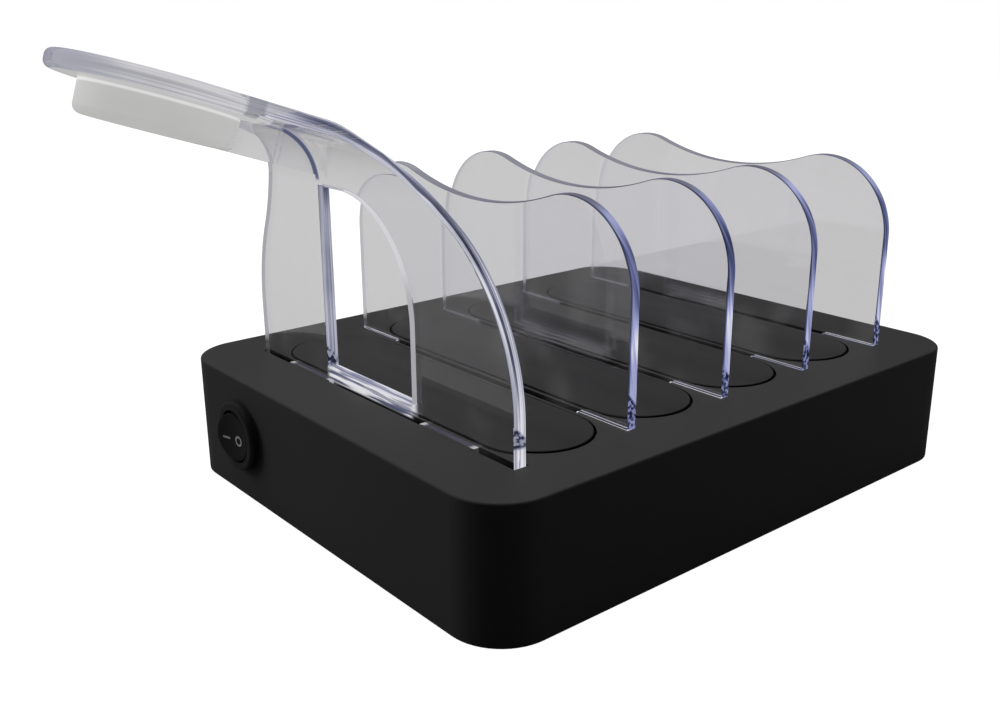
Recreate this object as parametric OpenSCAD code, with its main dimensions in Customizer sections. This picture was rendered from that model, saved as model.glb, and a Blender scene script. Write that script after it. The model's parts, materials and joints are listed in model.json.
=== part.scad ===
// Desktop charging station: a flat black housing with a row of clear dividers,
// a clear watch stand in the leftmost slot and a round rocker switch on the left side.
// Millimetres. +X runs along the row of dividers, +Y to the back, +Z up.
// The origin is the middle of the base, on the surface that the feet stand on.

/* [Housing] */
// Length of the base, left to right
base_l = 157; // [150:1:190]
// Depth of the base, front to back
base_d = 126; // [122:1:150]
// Height of the housing walls
base_h = 30; // [28:0.5:38]
// Radius of the upright corners
corner_r = 12.5; // [9:0.5:14]
// Rounding along the top edge
edge_r = 0.5; // [0.3:0.1:1.2]
// Thickness of the side walls
wall = 2.4; // [2:0.1:3]
// Thickness of the deck
deck_t = 2.8; // [2.4:0.1:3.4]

/* [Bottom] */
// Thickness of the bottom cover
cover_t = 2.4; // [2:0.1:3]
// Gap between the bottom cover and the walls
cover_gap = 0.3; // [0.2:0.05:0.6]
// Distance of the cover screws from the outer sides
screw_inset = 11; // [10:0.5:13]
// Radius of a cover screw's shank
screw_r = 1.4; // [1.2:0.1:1.6]
// Length of a cover screw below its head
screw_l = 10; // [8:0.5:14]
// Radius of a rubber foot
foot_r = 6; // [4:0.5:8]
// How far a foot stands below the housing
foot_proud = 1.5; // [1:0.1:3]
// How deep a foot sits in the bottom cover
foot_sink = 1; // [0.6:0.1:1.4]
// Distance of the feet from the left and right sides
foot_inset_x = 28; // [26:1:40]
// Distance of the feet from the front and back
foot_inset_y = 14; // [10:1:20]

/* [Dividers] */
// Distance of the outer dividers from the left and right sides
side_margin = 18; // [17:0.25:24]
// Thickness of a plain divider
div_t = 2.5; // [2:0.1:3]
// Half the length of a plain divider
div_half = 50.5; // [48:0.5:54]
// Half the length of its tab
div_tab_half = 35; // [28:0.5:38]
// Depth of its tab below the deck
div_tab_h = 8; // [6:0.5:9]
// Radius of the two humps
hump_r = 19; // [16:0.5:22]
// Height of the hump centres above the deck
hump_up = 28.6; // [24:0.2:34]
// Height of the dip's lowest point above the hump centres
dip_up = 13.8; // [11:0.2:15]
// Gap between a divider and the sides of its slot
slot_gap = 0.4; // [0.25:0.05:0.6]
// Gap below a tab
tab_gap = 0.5; // [0.3:0.1:1]
// Wall of the sockets that hang under the deck
socket_wall = 1.4; // [1:0.1:1.8]

/* [Pads] */
// Gap between a bay pad and the plain dividers beside it
pad_side = 1.875; // [1.5:0.125:4]
// Length of a bay pad
pad_l = 99; // [90:1:106]
// Thickness of a bay pad
pad_t = 1.2; // [0.8:0.1:1.5]
// Groove left around a bay pad
pad_gap = 0.6; // [0.3:0.1:0.8]

/* [Watch stand] */
// Thickness of the stand's sheet
stand_t = 3; // [2.6:0.1:3.4]
// Half the length of the stand's foot
stand_half = 49.8; // [47:0.2:52]
// Depth of its tabs below the deck
stand_tab_h = 9; // [7:0.5:10]
// Half the length of the middle tab
stand_mid_tab = 18.5; // [14:0.5:20]
// Inner end of the two outer tabs
stand_end_tab = 37; // [34:0.5:40]
// Height above the deck where the front edge starts to lean back
lean_up = 8.4; // [5:0.2:11]
// Radius of the front edge
lean_r = 42.4; // [39:0.2:45]
// Slope of the front edge where its round part ends
lean_turn = 23; // [20:0.5:26]
// Slope of the straight part that runs on to the arm
lean_slope = 30; // [28:0.5:33]
// Height above the deck where the back edge starts to draw in
draw_up = 14; // [8:0.5:18]
// Height over which the back edge draws in
draw_h = 40; // [30:0.5:44]
// Front of the window
window_front = -15.6; // [-20:0.2:-13]
// Back of the window
window_back = 18.5; // [16:0.1:20]
// Height of the window's sill above the deck
sill_up = 3.5; // [2.5:0.1:6]
// Height of the window's top above the deck
window_up = 46.5; // [42:0.5:46.5]
// Radius of the window's upper front corner
window_r = 26; // [20:0.5:30]
// Height above the deck where the sheet bends over
bend_up = 47; // [47:0.5:54]
// Radius of the bend, at the middle of the sheet
bend_r = 16; // [12:0.5:20]
// Slope of the arm
arm_rise = 18.5; // [10:0.5:24]
// Middle of the arm, measured back from the middle of the base
arm_y = 20; // [16:0.5:24]
// Half the width of the arm
arm_half = 21.4; // [19:0.2:21.6]
// Distance from the bend to the middle of the watch disc
arm_l = 25.5; // [23.5:0.1:34]
// Radius of the watch disc
disc_r = 22.8; // [22:0.1:24]
// Thickness of the watch disc
disc_t = 3.8; // [3.4:0.1:5]
// Rounding of the disc's rim
disc_round = 1.4; // [0.6:0.1:1.6]
// Radius of a watch charger
puck_r = 14; // [13:0.1:15]
// Gap between the charger and its cup
puck_gap = 0.2; // [0.1:0.05:0.4]
// Wall of the cup
cup_wall = 1.9; // [1.6:0.1:2.6]
// Depth of the cup's seat
seat_depth = 8; // [7:0.1:9]
// Floor of the cup
cup_floor = 3; // [2:0.1:4]
// Rounding of the cup's lower edge
cup_round = 1.8; // [0.8:0.1:2]
// Width of the cable notch in the cup
notch_w = 4.6; // [4:0.1:6]
// Thickness of the rib under the arm
rib_t = 2.6; // [2:0.1:3.2]

/* [Switch] */
// Distance of the switch from the back
switch_from_back = 29.9; // [26:0.1:34]
// Height of the switch above the housing's lower edge
switch_up = 16; // [12:0.5:17]
// Radius of the hole for the switch
switch_hole_r = 7.5; // [7.2:0.1:8]
// Gap between the switch and its hole
switch_gap = 0.1; // [0.05:0.05:0.3]
// Radius of the bezel
bezel_r = 8.7; // [8.6:0.1:10]
// Thickness of the bezel
bezel_t = 2.2; // [1.8:0.1:3]
// Rounding of the bezel's outer edge
bezel_round = 0.9; // [0.5:0.1:1.3]
// Length of the barrel behind the bezel
barrel_l = 13; // [12:0.5:16]
// Wall of the barrel
barrel_wall = 0.8; // [0.6:0.1:1]
// Gap between the rocker and the barrel
rocker_gap = 0.3; // [0.2:0.05:0.5]
// Distance of the rocker's pivot outside the wall, inside the bezel
pivot_out = 0.6; // [0.3:0.1:0.8]
// Height of the rocker's valley above its pivot
rocker_up = 1.4; // [1:0.1:1.8]
// Angle that the rocker turns through
rocker_swing = 22; // [16:1:24]
// Radius of the rocker's pivot stubs
stub_r = 1; // [0.8:0.1:1.1]
// Running gap around the stubs
stub_gap = 0.06; // [0.03:0.01:0.1]

/* [Ports] */
// Height of the ports above the housing's lower edge
port_up = 15; // [12:0.5:16]
// Distance of the mains inlet from the left side
inlet_side = 33.5; // [32:0.5:36]
// Distance of the first charging port from the mains inlet
port_after = 27; // [23:0.5:30]
// Distance of the last charging port from the right side
port_side = 24.5; // [23:0.5:30]
// Width of a charging port's metal shell
usb_w = 13.2; // [13:0.1:14]
// Height of a charging port's metal shell
usb_h = 5.8; // [5.6:0.1:6.4]
// Depth of a charging port
usb_d = 14; // [12:0.5:16]
// Sheet thickness of the port shells
usb_t = 0.35; // [0.3:0.05:0.5]
// Gap between a port and its cut-out
port_gap = 0.3; // [0.2:0.05:0.5]
// Width of the mains inlet's body
inlet_w = 22; // [20:0.5:23]
// Height of the mains inlet's body
inlet_h = 12; // [11:0.5:13]
// Depth of the mains inlet's body
inlet_d = 16; // [14:0.5:17]
// Spacing of the inlet's pins
pin_pitch = 8.6; // [8:0.1:9]
// Radius of an inlet pin
pin_r = 1.2; // [1.1:0.1:1.4]
// Radius of each lobe of the inlet's recess
lobe_r = 4.2; // [4:0.1:4.6]
// Depth of the inlet's recess
recess_d = 11; // [9:0.5:12]

/* [Boards] */
// Thickness of the circuit boards
board_t = 1.6; // [1.2:0.1:2]
// Distance of the port board's left end from the first port
usb_board_end = 10; // [9:0.5:11]
// Gap between the port board and the shell's screw boss
boss_gap = 0.5; // [0.3:0.1:1]
// Depth of the port board
usb_board_d = 21; // [20:0.5:22]
// Length of the supply board
supply_l = 84; // [80:1:88]
// Depth of the supply board
supply_d = 64; // [60:1:66]
// Middle of the supply board, left to right
supply_x = 14; // [12:1:16]
// Middle of the supply board, front to back
supply_y = -1; // [-3:0.5:0]
// Height of the supply board above the bottom cover
supply_up = 4.1; // [3:0.1:5]
// Radius of the posts under the boards
post_r = 2.8; // [2.4:0.1:3.2]
// Radius of a board screw's shank
board_screw_r = 1.05; // [0.9:0.05:1.2]
// Length of a board screw below its head
board_screw_l = 5; // [4:0.5:5.5]
// Radius of the insulated wires
lead_r = 1; // [0.8:0.1:1.1]

/* [Hidden] */
$fn = 64;
cut = 1;
fit = 0.05;
bays = 4;

z_rim = foot_proud;
z_deck = z_rim + base_h;
z_ceiling = z_deck - deck_t;
z_cover = z_rim + cover_t;
x_left = -base_l / 2;
x_right = base_l / 2;
y_back = base_d / 2;
bay_pitch = (base_l - 2 * side_margin) / bays;
pad_w = bay_pitch - div_t - 2 * pad_side;

head_r = 2 * screw_r;
head_h = 1.8;
head_gap = 0.3;
head_sink = 0.6;
cover_boss_r = head_r + head_gap + 1.3;
cover_boss_h = head_sink + head_h + 1.8;
shell_boss_r = screw_r + 2.2;

ports = 4;
inlet_x = x_left + inlet_side;
port_x = inlet_x + port_after;
port_pitch = (x_right - port_side - port_x) / (ports - 1);
z_port = z_rim + port_up;
y_shell_front = y_back - 0.3;
usb_gap = 0.1;
tongue_t = 1.8;
tongue_l = 9;
usb_plug_l = 3;
z_usb_top = z_port - usb_h / 2;
z_usb_board = z_usb_top - board_t;
board_back_gap = 1;
post_inset = 4;
y_usb_board = y_back - wall - board_back_gap - usb_board_d;
x_usb_board = port_x - usb_board_end;
usb_board_l = x_right - screw_inset - shell_boss_r - boss_gap - x_usb_board;
usb_post_y = y_usb_board + post_inset;
usb_posts = [for (k = [0 : 2]) x_usb_board + post_inset + k * (usb_board_l - 2 * post_inset) / 2];

z_supply = z_cover + supply_up;
z_supply_top = z_supply + board_t;
supply_posts = [for (i = [-1, 1], j = [-1, 1])
    [supply_x + i * (supply_l / 2 - post_inset), supply_y + j * (supply_d / 2 - post_inset)]];
board_hole_r = board_screw_r + 0.25;
board_head_r = 2 * board_screw_r;
board_head_h = 1.4;

inlet_lip = 1.5;
inlet_lip_t = 1.4;
tail_l = 4;
y_tail = y_back - inlet_d - tail_l;
z_tail = z_port;

disc_top = bend_r + stand_t / 2;
cup_bottom = disc_top - seat_depth - cup_floor;
bore_r = puck_r + puck_gap;
cup_r = bore_r + cup_wall;
stand_x = -bays / 2 * bay_pitch;
bend_x = stand_x - bend_r;
z_bend = z_deck + bend_up;
lean_y = lean_r - stand_half;
lean_end_y = lean_y - lean_r * sin(lean_turn);
lean_end_z = lean_up + lean_r * cos(lean_turn);
lean_back = lean_r * sin(lean_slope - lean_turn);
neck_front = arm_y - arm_half;
neck_back = arm_y + arm_half;
neck_z = lean_end_z + (neck_front - lean_end_y) * tan(lean_slope);
draw_in = stand_half - neck_back;
draw_turn = 2 * atan(draw_in / draw_h);
draw_r = draw_h / (2 * sin(draw_turn));
outline_top = bend_up + bend_r + stand_t;
stand_tabs = [[-stand_half, -stand_end_tab], [-stand_mid_tab, stand_mid_tab],
    [stand_end_tab, stand_half]];

dip_r = (div_hump() ^ 2 + dip_up ^ 2 - hump_r ^ 2) / (2 * (hump_r - dip_up));
dip_share = hump_r / (dip_r + hump_r);

y_switch = y_back - switch_from_back;
z_switch = z_rim + switch_up;
barrel_r = switch_hole_r - switch_gap;
well_r = barrel_r - barrel_wall;
rocker_r = well_r - rocker_gap;
well_floor = 4;
blade_pitch = 7;
blade_w = 2.8;
blade_t = 0.8;
blade_l = 8;
blade_drop = 3;
x_blade_end = x_left + barrel_l + blade_l;
z_blade = z_switch - blade_drop;

lead_from_end = 4.5;
lead_y = 10;
lead_pitch = 7;
lead_x = supply_x - supply_l / 2 + lead_from_end;
lead_ends = [for (y = [lead_y, lead_y + lead_pitch]) [lead_x, supply_y + y, z_supply_top]];
tails = [for (s = [-1, 1]) [inlet_x + s * pin_pitch / 2, y_tail, z_tail]];
blades = [for (s = [-1, 1]) [x_blade_end, y_switch + s * blade_pitch / 2, z_blade]];
dc_from_end = 12;
dc_pitch = 6;
dc_from_edge = 8;
dc_x = supply_x + supply_l / 2 - dc_from_end;
dc_xs = [dc_x - dc_pitch, dc_x];
dc_y = supply_y + supply_d / 2 - dc_from_edge;
dc_rise = 3;
dc_arch = 4.5;
dc_in = 4;

core = [20, 7, 16];
yoke = 3;
core_window = 4.5;
coil_gap = 0.2;
transformer_y = -2;
can_r = 7.5;
can_l = 25;
can_y = 2;
small_can_r = 4;
small_can_h = 13;
small_can_pitch = 12;
small_can_gap = 1;
small_can_y = supply_d / 2 - dc_from_edge - lead_r - small_can_gap - small_can_r;
ring_r = 6;
ring_wire_r = 3;
ring_y = -20;
fuse_r = 2.3;
fuse_l = 17;
cap_r = 2.6;
cap_l = 4;
fuse_y = 22;
sink = [20, 2, 14];
sink_y = 22;
fins = 5;
fin_t = 1;
fin_l = 4;
transistor = [10, 4.4, 14];

// Half the distance between the two hump centres of a plain divider.
function div_hump() = div_half - hump_r;

// Place of divider i in the row, where 0 is the watch stand.
function divider_x(i) = (i - bays / 2) * bay_pitch;

// Middle of bay i, counted from the left.
function bay_x(i) = (i - bays / 2 - 0.5) * bay_pitch;

function port_at(i) = port_x + (i - 1) * port_pitch;

// Places shared by the cover screws and their bosses.
function screw_places() = [for (i = [-1, 1], j = [-1, 1])
    [i * (base_l / 2 - screw_inset), j * (base_d / 2 - screw_inset)]];

module rounded_rect(l, d, r) {
    square([l - 2 * r, d], center = true);
    square([l, d - 2 * r], center = true);
    for (i = [-1, 1], j = [-1, 1])
        translate([i * (l / 2 - r), j * (d / 2 - r)]) circle(r);
}

// Half section of a block that is w wide to one side, with its upper outer edge rounded.
module soft_side(w, h, e) {
    square([w, h - e]);
    square([w - e, h]);
    translate([w - e, h - e]) intersection() {
        circle(e);
        square(e);
    }
}

// A block with upright rounded corners and a rounded top edge.
module soft_block(l, d, h, r, e) {
    for (i = [-1, 1], j = [-1, 1])
        translate([i * (l / 2 - r), j * (d / 2 - r), 0]) rotate_extrude() soft_side(r, h, e);
    translate([r - l / 2, 0, 0]) rotate([90, 0, 90]) linear_extrude(l - 2 * r)
        for (s = [0, 1]) mirror([s, 0]) soft_side(d / 2, h, e);
    translate([0, d / 2 - r, 0]) rotate([90, 0, 0]) linear_extrude(d - 2 * r)
        for (s = [0, 1]) mirror([s, 0]) soft_side(l / 2, h, e);
}

module stadium(l, w) {
    square([w, l - w], center = true);
    for (j = [-1, 1]) translate([0, j * (l - w) / 2]) circle(w / 2);
}

// A box from its low corner to its high corner.
module span(lo, hi) {
    translate(lo) cube(hi - lo);
}

// The hollow of a slot, or with extra walls the socket around it.
module slot_box(x, y0, y1, t, depth, top, extra) {
    half = t / 2 + slot_gap + extra;
    span([x - half, y0 - slot_gap - extra, z_deck - depth - tab_gap - extra],
        [x + half, y1 + slot_gap + extra, top]);
}

module each_slot(top, extra) {
    for (i = [1 : bays])
        slot_box(divider_x(i), -div_tab_half, div_tab_half, div_t, div_tab_h, top, extra);
    for (s = stand_tabs) slot_box(stand_x, s[0], s[1], stand_t, stand_tab_h, top, extra);
}

// Places a switch piece: its local Z points out of the left wall, its X points up.
module on_left_wall() {
    translate([x_left, y_switch, z_switch]) rotate([0, -90, 0]) children();
}

module top_shell() color([0.09, 0.09, 0.09]) difference() {
    union() {
        difference() {
            translate([0, 0, z_rim]) soft_block(base_l, base_d, base_h, corner_r, edge_r);
            translate([0, 0, z_rim - cut]) linear_extrude(base_h - deck_t + cut)
                rounded_rect(base_l - 2 * wall, base_d - 2 * wall, corner_r - wall);
        }
        each_slot(z_ceiling + deck_t / 2, socket_wall);
        for (p = screw_places()) translate([p[0], p[1], z_rim + cover_boss_h])
            cylinder(h = z_ceiling + deck_t / 2 - z_rim - cover_boss_h, r = shell_boss_r);
    }
    each_slot(z_deck + cut, 0);
    for (i = [1 : bays]) translate([bay_x(i), 0, z_deck - pad_t])
        linear_extrude(pad_t + cut) stadium(pad_l + 2 * pad_gap, pad_w + 2 * pad_gap);
    for (p = screw_places()) translate([p[0], p[1], z_rim + cover_boss_h - cut])
        cylinder(h = screw_l + cut, r = screw_r + fit);
    translate([x_left - cut, y_switch, z_switch]) rotate([0, 90, 0])
        cylinder(h = wall + 2 * cut, r = switch_hole_r);
    for (i = [1 : ports]) translate([port_at(i), y_back - wall / 2, z_port])
        cube([usb_w + 2 * port_gap, wall + 2 * cut, usb_h + 2 * port_gap], center = true);
    translate([inlet_x, y_back - wall / 2, z_port])
        cube([inlet_w + 2 * port_gap, wall + 2 * cut, inlet_h + 2 * port_gap], center = true);
}

module bottom_cover() color([0.12, 0.12, 0.12]) difference() {
    union() {
        inset = wall + cover_gap;
        translate([0, 0, z_rim]) linear_extrude(cover_t)
            rounded_rect(base_l - 2 * inset, base_d - 2 * inset, corner_r - inset);
        for (p = screw_places()) translate([p[0], p[1], z_rim])
            cylinder(h = cover_boss_h, r = cover_boss_r);
        for (x = usb_posts) translate([x, usb_post_y, z_rim])
            cylinder(h = z_usb_board - z_rim, r = post_r);
        for (p = supply_posts) translate([p[0], p[1], z_rim])
            cylinder(h = z_supply - z_rim, r = post_r);
    }
    for (p = screw_places()) translate([p[0], p[1], z_rim - cut]) {
        cylinder(h = cover_boss_h + 2 * cut, r = screw_r + head_gap);
        cylinder(h = head_sink + head_h + cut, r = head_r + head_gap);
    }
    for (p = foot_places()) translate([p[0], p[1], z_rim - cut])
        cylinder(h = foot_sink + cut, r = foot_r + fit);
    for (x = usb_posts) translate([x, usb_post_y, z_usb_board - board_screw_l])
        cylinder(h = board_screw_l + cut, r = board_screw_r + fit);
    for (p = supply_posts) translate([p[0], p[1], z_supply - board_screw_l])
        cylinder(h = board_screw_l + cut, r = board_screw_r + fit);
}

function foot_places() = [for (i = [-1, 1], j = [-1, 1])
    [i * (base_l / 2 - foot_inset_x), j * (base_d / 2 - foot_inset_y)]];

module rubber_feet() color([0.16, 0.16, 0.16]) for (p = foot_places())
    translate([p[0], p[1], 0]) cylinder(h = foot_proud + foot_sink, r = foot_r);

// A pan-head screw standing on its tip end upwards, its head's seat at Z = 0.
module screw(shank_r, shank_l, r, h) {
    difference() {
        union() {
            cylinder(h = shank_l, r = shank_r);
            translate([0, 0, -h]) cylinder(h = h, r = r);
        }
        for (a = [0, 90]) rotate([0, 0, a])
            translate([0, 0, -h]) cube([1.3 * r, 0.3 * r, h], center = true);
    }
}

module cover_screws() color("silver") for (p = screw_places())
    translate([p[0], p[1], z_rim + head_sink + head_h]) screw(screw_r, screw_l, head_r, head_h);

module bay_pad(i) color([0.2, 0.2, 0.2]) translate([bay_x(i), 0, z_deck - pad_t])
    linear_extrude(pad_t) stadium(pad_l, pad_w);

// Outline of a plain divider above the deck: X is along the divider, Y is up.
module wave_outline() {
    a = div_hump();
    dip_x = a * (1 - dip_share);
    dip_y = hump_up + (dip_up + dip_r) * dip_share;
    translate([-div_half, 0]) square([2 * div_half, hump_up]);
    for (j = [-1, 1]) translate([j * a, hump_up]) circle(hump_r);
    difference() {
        translate([-dip_x, 0]) square([2 * dip_x, dip_y]);
        translate([0, hump_up + dip_up + dip_r]) circle(dip_r, $fn = 256);
    }
}

// Stands a flat outline up across the row, centred on x, with its Y as height above the deck.
module stand_up(x, t) {
    translate([x - t / 2, 0, z_deck]) rotate([90, 0, 90]) linear_extrude(t) children();
}

module divider(i) color([0.82, 0.84, 0.9, 0.4]) stand_up(divider_x(i), div_t) {
    wave_outline();
    translate([-div_tab_half, -div_tab_h]) square([2 * div_tab_half, div_tab_h + cut]);
}

// Outline of the watch stand's sheet, seen along the row of dividers.
module stand_outline() {
    difference() {
        union() {
            polygon([[-stand_half, 0], [stand_half, 0], [stand_half, draw_up],
                [neck_back, draw_up + draw_h], [neck_back, outline_top], [neck_front, outline_top],
                [neck_front, neck_z],
                [lean_end_y - lean_back * cos(lean_slope), lean_end_z - lean_back * sin(lean_slope)],
                [lean_y, lean_up], [-stand_half, lean_up]]);
            intersection() {
                translate([lean_y, lean_up]) circle(lean_r, $fn = 128);
                translate([-stand_half, lean_up]) square(lean_r);
            }
            intersection() {
                translate([stand_half - draw_r, draw_up]) circle(draw_r, $fn = 256);
                translate([arm_y, draw_up]) square([stand_half - arm_y, draw_h / 2]);
            }
        }
        intersection() {
            translate([neck_back + draw_r, draw_up + draw_h]) circle(draw_r, $fn = 256);
            translate([neck_back, draw_up + draw_h / 2]) square([draw_in, draw_h / 2 + fit]);
        }
    }
}

module window_outline() {
    difference() {
        translate([window_front, sill_up]) square([window_back - window_front, window_up - sill_up]);
        difference() {
            translate([window_front - cut, window_up - window_r]) square(window_r + cut);
            translate([window_front + window_r, window_up - window_r]) circle(window_r, $fn = 128);
        }
    }
}

// The arm's own frame: X runs out along the arm from the bend's centre, Z is square to the arm.
module arm_frame() {
    translate([bend_x, arm_y, z_bend]) rotate([0, arm_rise, 0]) rotate([0, 0, 180]) children();
}

// Side view of the bent stretch of the sheet, about the bend's centre.
module bend_outline() {
    reach = 2 * bend_r;
    intersection() {
        difference() {
            circle(bend_r + stand_t / 2, $fn = 128);
            circle(bend_r - stand_t / 2, $fn = 128);
        }
        polygon([[0, 0], [reach, 0], [reach, reach], [reach * sin(arm_rise), reach * cos(arm_rise)]]);
    }
}

// Profile of the disc with its rounded rim and of the cup below it, for turning about the disc's axis.
module cup_profile() {
    translate([0, disc_top - disc_t]) square([disc_r - disc_round, disc_t]);
    translate([0, disc_top - disc_t + disc_round]) square([disc_r, disc_t - 2 * disc_round]);
    for (z = [disc_top - disc_round, disc_top - disc_t + disc_round])
        translate([disc_r - disc_round, z]) circle(disc_round);
    translate([0, cup_bottom]) square([cup_r - cup_round, disc_top - disc_t - cup_bottom + fit]);
    translate([0, cup_bottom + cup_round])
        square([cup_r, disc_top - disc_t - cup_bottom - cup_round + fit]);
    translate([cup_r - cup_round, cup_bottom + cup_round]) circle(cup_round);
}

// Side view of the rib under the arm, in the arm's frame.
module rib_outline() {
    intersection() {
        circle(bend_r, $fn = 128);
        translate([-bend_r, cup_bottom]) square([bend_r, bend_r - cup_bottom]);
    }
    translate([-fit, cup_bottom]) square([arm_l - cup_r + cup_wall / 2, bend_r - cup_bottom]);
}

module watch_stand() color([0.8, 0.82, 0.9, 0.4]) difference() {
    union() {
        difference() {
            stand_up(stand_x, stand_t) intersection() {
                stand_outline();
                translate([-stand_half, 0]) square([2 * stand_half, bend_up]);
            }
            stand_up(stand_x, stand_t + 2 * cut) window_outline();
        }
        for (s = stand_tabs) stand_up(stand_x, stand_t)
            translate([s[0], -stand_tab_h]) square([s[1] - s[0], stand_tab_h + cut]);
        intersection() {
            translate([bend_x, stand_half, z_bend]) rotate([90, 0, 0])
                linear_extrude(2 * stand_half) bend_outline();
            stand_up(stand_x - bend_r, 4 * bend_r) stand_outline();
        }
        arm_frame() {
            translate([0, -arm_half, bend_r - stand_t / 2]) cube([arm_l, 2 * arm_half, stand_t]);
            translate([arm_l, 0, 0]) rotate_extrude($fn = 128) cup_profile();
            rotate([90, 0, 0]) translate([0, 0, -rib_t / 2]) linear_extrude(rib_t) rib_outline();
        }
    }
    arm_frame() translate([arm_l, 0, disc_top - seat_depth]) {
        cylinder(h = seat_depth + cut, r = bore_r);
        translate([-notch_w / 2, -cup_r - cut, -cut]) cube([notch_w, cup_r + cut, seat_depth - disc_t + cut]);
    }
}

module switch_housing() color([0.07, 0.07, 0.07]) on_left_wall() difference() {
    union() {
        translate([0, 0, -barrel_l]) cylinder(h = barrel_l, r = barrel_r);
        rotate_extrude() soft_side(bezel_r, bezel_t, bezel_round);
    }
    translate([0, 0, -barrel_l + well_floor]) cylinder(h = barrel_l + bezel_t, r = well_r);
    translate([0, 0, pivot_out]) rotate([0, 90, 0])
        cylinder(h = 2 * (stub_reach() + fit), r = stub_r + stub_gap, center = true);
    for (s = [-1, 1])
        translate([-blade_drop - blade_w / 2, s * blade_pitch / 2 - blade_t / 2, -barrel_l - cut])
            cube([blade_w, blade_t, well_floor / 2 + cut]);
}

function stub_reach() = barrel_r - fit;

// The rocker is shown with its front half pressed, which is off.
module switch_rocker() color([0.06, 0.06, 0.06]) on_left_wall()
    translate([0, 0, pivot_out]) rotate([rocker_swing / 2, 0, 0]) {
        half = rocker_swing / 2;
        keel = 1.5;
        belly = 2.5;
        intersection() {
            sphere(rocker_r);
            translate([-rocker_r, 0, 0]) rotate([90, 0, 90]) linear_extrude(2 * rocker_r)
                polygon([[-rocker_r, rocker_up + rocker_r * tan(half)], [0, rocker_up],
                    [rocker_r, rocker_up + rocker_r * tan(half)], [rocker_r, -belly], [keel, -belly],
                    [keel, -rocker_r], [-keel, -rocker_r], [-keel, -belly], [-rocker_r, -belly]]);
        }
        rotate([0, 90, 0]) cylinder(h = 2 * stub_reach(), r = stub_r, center = true);
    }

module switch_terminals() color("goldenrod") on_left_wall() for (s = [-1, 1])
    translate([-blade_drop - blade_w / 2, s * blade_pitch / 2 - blade_t / 2, -barrel_l - blade_l])
        cube([blade_w, blade_t, blade_l + well_floor / 2]);

// Stands a flat outline in the back wall: its X stays X, its Y is up and it runs forwards from y.
module from_back(x, y, depth) {
    translate([x, y, z_port]) rotate([90, 0, 0]) linear_extrude(depth) children();
}

module inlet_housing() color([0.08, 0.08, 0.08]) difference() {
    union() {
        from_back(inlet_x, y_back + inlet_lip_t / 2, inlet_d + inlet_lip_t / 2)
            square([inlet_w, inlet_h], center = true);
        from_back(inlet_x, y_back + inlet_lip_t, inlet_lip_t)
            rounded_rect(inlet_w + 2 * inlet_lip, inlet_h + 2 * inlet_lip, inlet_lip);
    }
    from_back(inlet_x, y_back + inlet_lip_t + cut, recess_d + inlet_lip_t + cut) {
        for (s = [-1, 1]) translate([s * pin_pitch / 2, 0]) circle(lobe_r);
        square([pin_pitch, 1.4 * lobe_r], center = true);
    }
    for (s = [-1, 1]) from_back(inlet_x + s * pin_pitch / 2, y_back, inlet_d + cut) circle(pin_r);
}

module inlet_pins() color("silver") for (s = [-1, 1])
    from_back(inlet_x + s * pin_pitch / 2, y_back - 1, inlet_d + tail_l - 1) circle(pin_r);

module usb_board() color([0.05, 0.3, 0.15]) difference() {
    span([x_usb_board, y_usb_board, z_usb_board],
        [x_usb_board + usb_board_l, y_usb_board + usb_board_d, z_usb_top]);
    for (x = usb_posts) translate([x, usb_post_y, z_usb_board - cut])
        cylinder(h = board_t + 2 * cut, r = board_hole_r);
}

module usb_shell(i) color([0.75, 0.75, 0.77]) from_back(port_at(i), y_shell_front, usb_d) difference() {
    square([usb_w, usb_h], center = true);
    square([usb_w - 2 * usb_t, usb_h - 2 * usb_t], center = true);
}

// The plastic tongue of each port, with the block that closes the port's back.
module usb_tongues() color([0.1, 0.1, 0.1]) for (i = [1 : ports]) {
    inner_w = usb_w - 2 * usb_t - 2 * usb_gap;
    inner_h = usb_h - 2 * usb_t - 2 * usb_gap;
    from_back(port_at(i), y_shell_front - usb_d + usb_plug_l, usb_plug_l)
        square([inner_w, inner_h], center = true);
    from_back(port_at(i), y_shell_front - usb_d + usb_plug_l + tongue_l, tongue_l + fit)
        translate([0, inner_h / 2 - tongue_t]) square([inner_w - 1.4, tongue_t], center = true);
}

module supply_board() color([0.06, 0.32, 0.16]) difference() {
    translate([supply_x, supply_y, z_supply + board_t / 2])
        cube([supply_l, supply_d, board_t], center = true);
    for (p = supply_posts) translate([p[0], p[1], z_supply - cut])
        cylinder(h = board_t + 2 * cut, r = board_hole_r);
}

// Places a part on the supply board, under the middle of a bay.
module on_supply(bay, y) {
    translate([bay_x(bay), supply_y + y, z_supply_top]) children();
}

module transformer_core() color([0.15, 0.15, 0.16]) on_supply(3, transformer_y) difference() {
    translate([-core[0] / 2, -core[1] / 2, 0]) cube(core);
    for (s = [-1, 1]) translate([s * (yoke + core_window / 2), 0, core[2] / 2])
        cube([core_window, core[1] + 2 * cut, core[2] - 2 * yoke], center = true);
}

module transformer_coil() color([0.75, 0.6, 0.15]) on_supply(3, transformer_y)
    translate([0, 0, yoke]) linear_extrude(core[2] - 2 * yoke - coil_gap) difference() {
        square([2 * (yoke + core_window - coil_gap), core[1] + 2 * core_window], center = true);
        square([2 * (yoke + coil_gap), core[1] + 2 * coil_gap], center = true);
    }

module bulk_capacitor() color([0.15, 0.15, 0.3]) on_supply(2, can_y)
    translate([0, 0, can_r + fit]) rotate([90, 0, 0]) cylinder(h = can_l, r = can_r, center = true);

module output_capacitors() color([0.2, 0.35, 0.2]) for (k = [0 : 2])
    on_supply(4, small_can_y - small_can_pitch * k) cylinder(h = small_can_h, r = small_can_r);

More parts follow.
